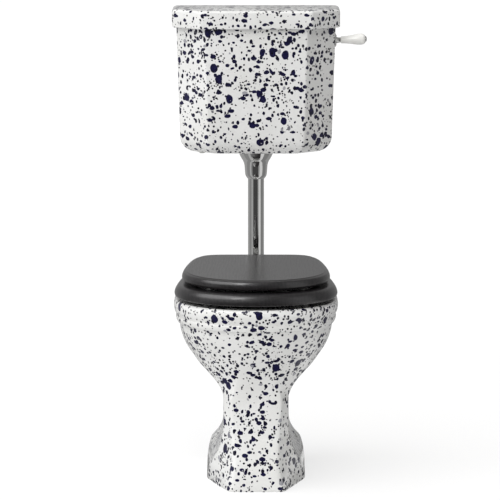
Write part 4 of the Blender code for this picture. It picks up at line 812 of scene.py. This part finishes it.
def makeRing():
    # The section runs round between the hole's outline and the outer one.
    o = seatOptions
    outX, outP = seatOutline(o["ringHalf"], o["ringFront"], o["ringRear"], o["squared"])
    inX, inP = seatOutline(o["holeHalf"], o["holeFront"], o["holeRear"], o["egg"])
    width = o["ringHalf"] - o["holeHalf"]
    profile = softened(np.array(ringShares) * (width, o["ringThick"]), o["ringSoft"], True, 6)
    across, up = profile[:, :1] / width, profile[:, 1:]
    grid = atWall(inX + (outX - inX) * across, inP + (outP - inP) * across, o["ringBottom"] + up)
    settle(gridPiece("seat_ring_wood", grid, True), "seat_ring")


def makeSeatLid():
    # One outline for each point of the edge, smaller by its inset.
    o = seatOptions
    rings = []
    for inset, up in softened(np.array(lidEdge), o["lidSoft"], False, 6):
        x, p = seatOutline(o["lidHalf"] - inset, o["lidFront"] - inset, o["lidRear"] + inset,
                           o["squared"])
        rings.append(atWall(x, p, o["lidBottom"] + up))
    lid = gridPiece("seat_lid_wood", np.array(rings))
    shade(lid.data, o["lidSharp"])
    settle(lid, "seat_lid")


makeRing()
makeSeatLid()
print("seat ready")

# Flush pipe, shroud and rubber joint
pipeOptions = dict(p=0.100, radius=0.019, wall=0.0015, top=0.690, bend=0.055, run=0.002,
                   straight=0.19, end=0.232, horn=0.378, sides=96)
# The bell's heights and radii, then the room inside for the nut, the thread and the cone
bellHeights = (.6436, .6480, .6525, .6620, .6740, .6810, .6857, .6904, .6980, .7094)
bellRadii = (.0203, .0235, .0253, .0263, .0272, .0289, .0308, .0338, .0379, .0430)
bellRoom = ((.0200, .6435), (.0193, .6435), (.0193, .6514), (.0225, .6514), (.0225, .6597),
            (.0223, .6597), (.0223, .6958), (.0319, .6985), (.0319, .7097), (.0426, .7097))
# Radius and distance from the wall
coneShape = ((.0193, .157), (.0295, .157), (.0295, .1665), (.0370, .1807), (.0370, .198),
             (.0323, .198), (.0323, .1847), (.0193, .1847))


def makePipe():
    # A tube down from the siphon, round one bend and forward into the horn.
    o = pipeOptions
    down = np.stack([np.full(40, o["p"]),
                     np.linspace(o["top"], o["horn"] + o["bend"] + o["run"], 40)], -1)
    curve = arcPoints((o["p"] + o["bend"], o["horn"] + o["bend"]), o["bend"], 180, 270, 24)
    route = np.vstack([down, curve, [(o["straight"], o["horn"]), (o["end"], o["horn"])]])
    path = atWall(0 * route[:, 0], route[:, 0], route[:, 1])
    outer = tubeGrid(path, o["radius"], o["sides"])
    inner = tubeGrid(path, o["radius"] - o["wall"], o["sides"])[::-1]
    settle(gridPiece("flush_pipe_chrome", np.concatenate([outer, inner]), True), "flush_pipe")

    at = np.linspace(bellHeights[-1], bellHeights[0], 40)
    bell = np.stack([monotone(at, bellHeights, bellRadii), at], -1)
    bell = turnedPiece("pipe_shroud_chrome", np.vstack([bell, bellRoom]), atWall(0, o["p"], 0),
                       (0, 0, 1), 128, True)
    settle(bell, "pipe_shroud")
    cone = turnedPiece("flush_cone_rubber", coneShape, atWall(0, 0, o["horn"]), (0, -1, 0), 96, True,
                       0.001)
    settle(cone, "flush_cone")


makePipe()

# Flush lever. Bush and bar: radius and distance outwards from the middle of the wall
leverOptions = dict(rise=2.3, ball=0.0104, gripStart=0.018, gripLength=0.059, gripRoot=0.0082,
                    gripBelly=0.01325, gripBore=0.0043, tang=0.004, tangEnd=0.008, play=0.0003,
                    capPlay=0.0007, neckShare=0.86, gripEnd=0.0074)
bushShape = ((.0108, -.013), (.014, -.013), (.014, .0048), (.0165, .0048), (.0162, .0058),
             (.0141, .0068), (.0124, .0083), (.0108, .0083))
barInside = ((.0021, -.112), (.0035, -.1103), (.0035, -.012))
barNeck = ((.0086, .0062), (.0074, .0088), (.0066, .0116), (.0060, .0152))
capShape = ((.0028, -.0077), (.004, -.0074), (.004, -.0004), (.0070, -.0004), (.0068, .0007),
            (.0056, .0017), (.0034, .0025), (.0004, .0028))  # from the grip's tip
# The grip's swell: share of its length and radius against the root's
swellPlaces = (0, .04, .15, .45, .68, .80, .90, .97, 1.0)
swellShares = (.85, .99, 1.03, 1.28, 1.55, 1.60, 1.50, 1.16, .90)


def makeLever():
    # The bush is turned about the wall's normal, the rest about the raised lever.
    o = leverOptions
    centre, outward = leverCentre()
    rise = math.radians(o["rise"])
    along = np.array([math.cos(rise), 0, math.sin(rise)])
    start, tip = o["gripStart"], o["gripStart"] + o["gripLength"]
    settle(turnedPiece("lever_bush_chrome", bushShape, centre, outward, hoop=True), "lever_bush")
    bar = np.vstack([barInside, arcPoints((0, 0), o["ball"], -66, 24, 16), barNeck,
                     [(barNeck[-1][0], start - o["play"]), (o["tang"], start - o["play"]),
                      (o["tang"], tip - o["tangEnd"])]])
    settle(turnedPiece("lever_arm_chrome", bar, centre, along), "lever_arm")

    at = np.linspace(0.02, 0.985, 40)
    swell = np.minimum(monotone(at, swellPlaces, np.array(swellShares) * o["gripRoot"]), o["gripBelly"])
    grip = np.vstack([[(o["gripBore"], start), (o["gripRoot"] * o["neckShare"], start)],
                      np.stack([swell, start + at * o["gripLength"]], -1),
                      [(o["gripEnd"], tip - o["capPlay"]), (o["gripBore"], tip - o["capPlay"])]])
    settle(turnedPiece("lever_grip_china", grip, centre, along, hoop=True), "lever_grip")
    cap = np.array(capShape) + (0, tip)
    settle(turnedPiece("lever_end_cap_chrome", cap, centre, along, 64), "lever_end_cap")


makeLever()
print("pipe and lever ready")

# The rest: each CAD solid's own shape, merged, bevelled and shaded
fineOptions = dict(edge=0.0004, segments=2, sharp=36, merge=0.00001, flat=0.5)


def refined(node):
    o = fineOptions
    mesh = frame["nodes"][node].data.copy()
    shell = bmesh.new()
    shell.from_mesh(mesh)
    bmesh.ops.remove_doubles(shell, verts=shell.verts, dist=o["merge"])
    bmesh.ops.recalc_face_normals(shell, faces=shell.faces)
    flat = [edge for edge in shell.edges if len(edge.link_faces) == 2
            and edge.calc_face_angle(0) < math.radians(o["flat"])]
    bmesh.ops.dissolve_edges(shell, edges=flat, use_verts=False)
    shell.to_mesh(mesh)
    shell.free()
    shade(mesh, o["sharp"])
    piece = placed(node + "_fine", mesh)
    soft = piece.modifiers.new("edge", "BEVEL")
    soft.width, soft.segments, soft.limit_method = o["edge"], o["segments"], "ANGLE"
    soft.angle_limit = math.radians(o["sharp"])
    settle(piece, node)


for node in frame["nodes"]:
    if node not in settled:
        refined(node)
print("fittings ready")

# Floor, light and camera: metres, degrees and pixels
lightOptions = dict(floorSize=120, floorTone=0.28, floorGlow=0.70, worldTone=(1.0, 0.99, 0.965, 1),
                    worldStrength=0.28, keyPower=3.6, keyWidth=84, keySide=42, keyHeight=57)
viewOptions = dict(distance=7.92, height=1.622, pitch=8.37, focalPixels=3326, framePixels=500,
                   besidePixels=6, reach=300)
# A studio that only reflections see. Lamps: direction and height in degrees, width, height and
# brightness; panels: from and to in degrees (0 towards the camera, 90 at the lever's side) and
# brightness, floor and wall alike
roomOptions = dict(centreY=0.151, distance=2.6, top=2.3, inner=0.01, lift=0.002,
                   lampAim=(0, -0.2, 0.45), lampStep=0.2)
roomLamps = ((-24, 31, 0.8, 0.9, 14.0), (-55, 42, 2.8, 2.0, 3.2))
roomPanels = ((-180, -105, .42), (-105, -66, .30), (-66, -48, .52), (-48, -34, .22),
              (-34, 24, .07), (24, 38, .36), (38, 70, .78), (70, 115, .25), (115, 180, .36))
# A dark card that only diffuse light sees, which shades the lever's side
flagOptions = dict(start=50, stop=130, distance=1.45, low=0.01, top=2.2, tone=(0.05, 0.045, 0.04, 1))


def makeCard(name, grid, material, seenBy):
    # A grid of points as a card that only one kind of ray sees, never the camera.
    rows, count = grid.shape[:2]
    index = np.arange(rows * count).reshape(rows, count)
    quads = np.stack([index[:-1, :-1], index[:-1, 1:], index[1:, 1:], index[1:, :-1]], -1)
    mesh = bpy.data.meshes.new(name)
    mesh.from_pydata(grid.reshape(-1, 3).tolist(), [], quads.reshape(-1, 4).tolist())
    mesh.materials.append(material)
    card = placed(name, mesh)
    card.visible_camera = card.visible_shadow = False
    card.visible_glossy, card.visible_diffuse = seenBy == "glossy", seenBy == "diffuse"


def glowing(name, tone):
    return Mixture(name).finish(Base_Color=(0, 0, 0, 1), Emission_Color=(1, 1, 1, 1),
                                Emission_Strength=tone, Specular_IOR_Level=0)


def sector(start, stop, radii, heights):
    # Arcs between two directions about the object, one for each radius and height.
    turn = np.radians(np.linspace(start, stop, 12))
    radii, heights = np.array(radii)[:, None], np.array(heights)[:, None]
    return np.stack([radii * np.sin(turn), roomOptions["centreY"] - radii * np.cos(turn),
                     heights + 0 * turn], -1)


def makeRoom():
    o, flag = roomOptions, flagOptions
    for number, (start, stop, tone) in enumerate(roomPanels):
        name = "panel_card_%d" % number
        grid = sector(start, stop, (o["inner"], o["distance"], o["distance"]),
                      (o["lift"], o["lift"], o["top"]))
        makeCard(name, grid, glowing(name, tone), "glossy")
    for number, (side, up, width, tall, tone) in enumerate(roomLamps):
        name = "lamp_card_%d" % number
        side, up = math.radians(side), math.radians(up)
        away = np.array((math.sin(side) * math.cos(up), -math.cos(side) * math.cos(up), math.sin(up)))
        across = np.array((math.cos(side), math.sin(side), 0.0))
        u, v = np.meshgrid((-width / 2, width / 2), (-tall / 2, tall / 2))
        square = u[..., None] * across + v[..., None] * np.cross(away, across)
        place = o["lampAim"] + away * (o["distance"] - o["lampStep"] * number)
        makeCard(name, place + square, glowing(name, tone), "glossy")
    black = Mixture("flag_card").finish(Base_Color=flag["tone"], Roughness=0.9)
    grid = sector(flag["start"], flag["stop"], (flag["distance"],) * 2, (flag["low"], flag["top"]))
    makeCard("flag_card", grid, black, "diffuse")


def makeFloor():
    # The floor glows in part, so that its shadow stays faint.
    o = lightOptions
    size = o["floorSize"]
    plane = bpy.data.meshes.new("floor")
    plane.from_pydata([(-size, -size, 0), (size, -size, 0), (size, size, 0), (-size, size, 0)], [],
                      [(0, 1, 2, 3)])
    finish = Mixture("pale_floor").finish(Base_Color=(o["floorTone"],) * 3 + (1,), Roughness=0.9,
                                          Specular_IOR_Level=0, Emission_Color=(1, 1, 1, 1),
                                          Emission_Strength=o["floorGlow"])
    plane.materials.append(finish)
    placed("floor", plane)


def makeLight():
    o = lightOptions
    world = bpy.data.worlds.new("studio")
    world.use_nodes = True
    ground = world.node_tree.nodes["Background"]
    ground.inputs[0].default_value = o["worldTone"]
    ground.inputs[1].default_value = o["worldStrength"]
    bpy.context.scene.world = world
    bpy.context.scene.view_settings.view_transform = "Standard"

    lamp = bpy.data.lights.new("key", "SUN")
    lamp.energy, lamp.angle = o["keyPower"], math.radians(o["keyWidth"])
    key = placed("key", lamp)
    key.rotation_euler = (math.radians(90 - o["keyHeight"]), 0, -math.radians(o["keySide"]))
    key.visible_glossy = False


def makeCamera():
    v = viewOptions
    lens = bpy.data.cameras.new("camera")
    lens.lens = lens.sensor_width * v["focalPixels"] / v["framePixels"]
    lens.shift_x = -v["besidePixels"] / v["framePixels"]
    lens.clip_end = v["reach"]
    camera = placed("camera", lens)
    camera.location = (0, wallY - v["distance"], v["height"])
    camera.rotation_euler = (math.radians(90 - v["pitch"]), 0, 0)
    bpy.context.scene.camera = camera


makeFloor()
makeLight()
makeCamera()
makeRoom()
print("stage ready")
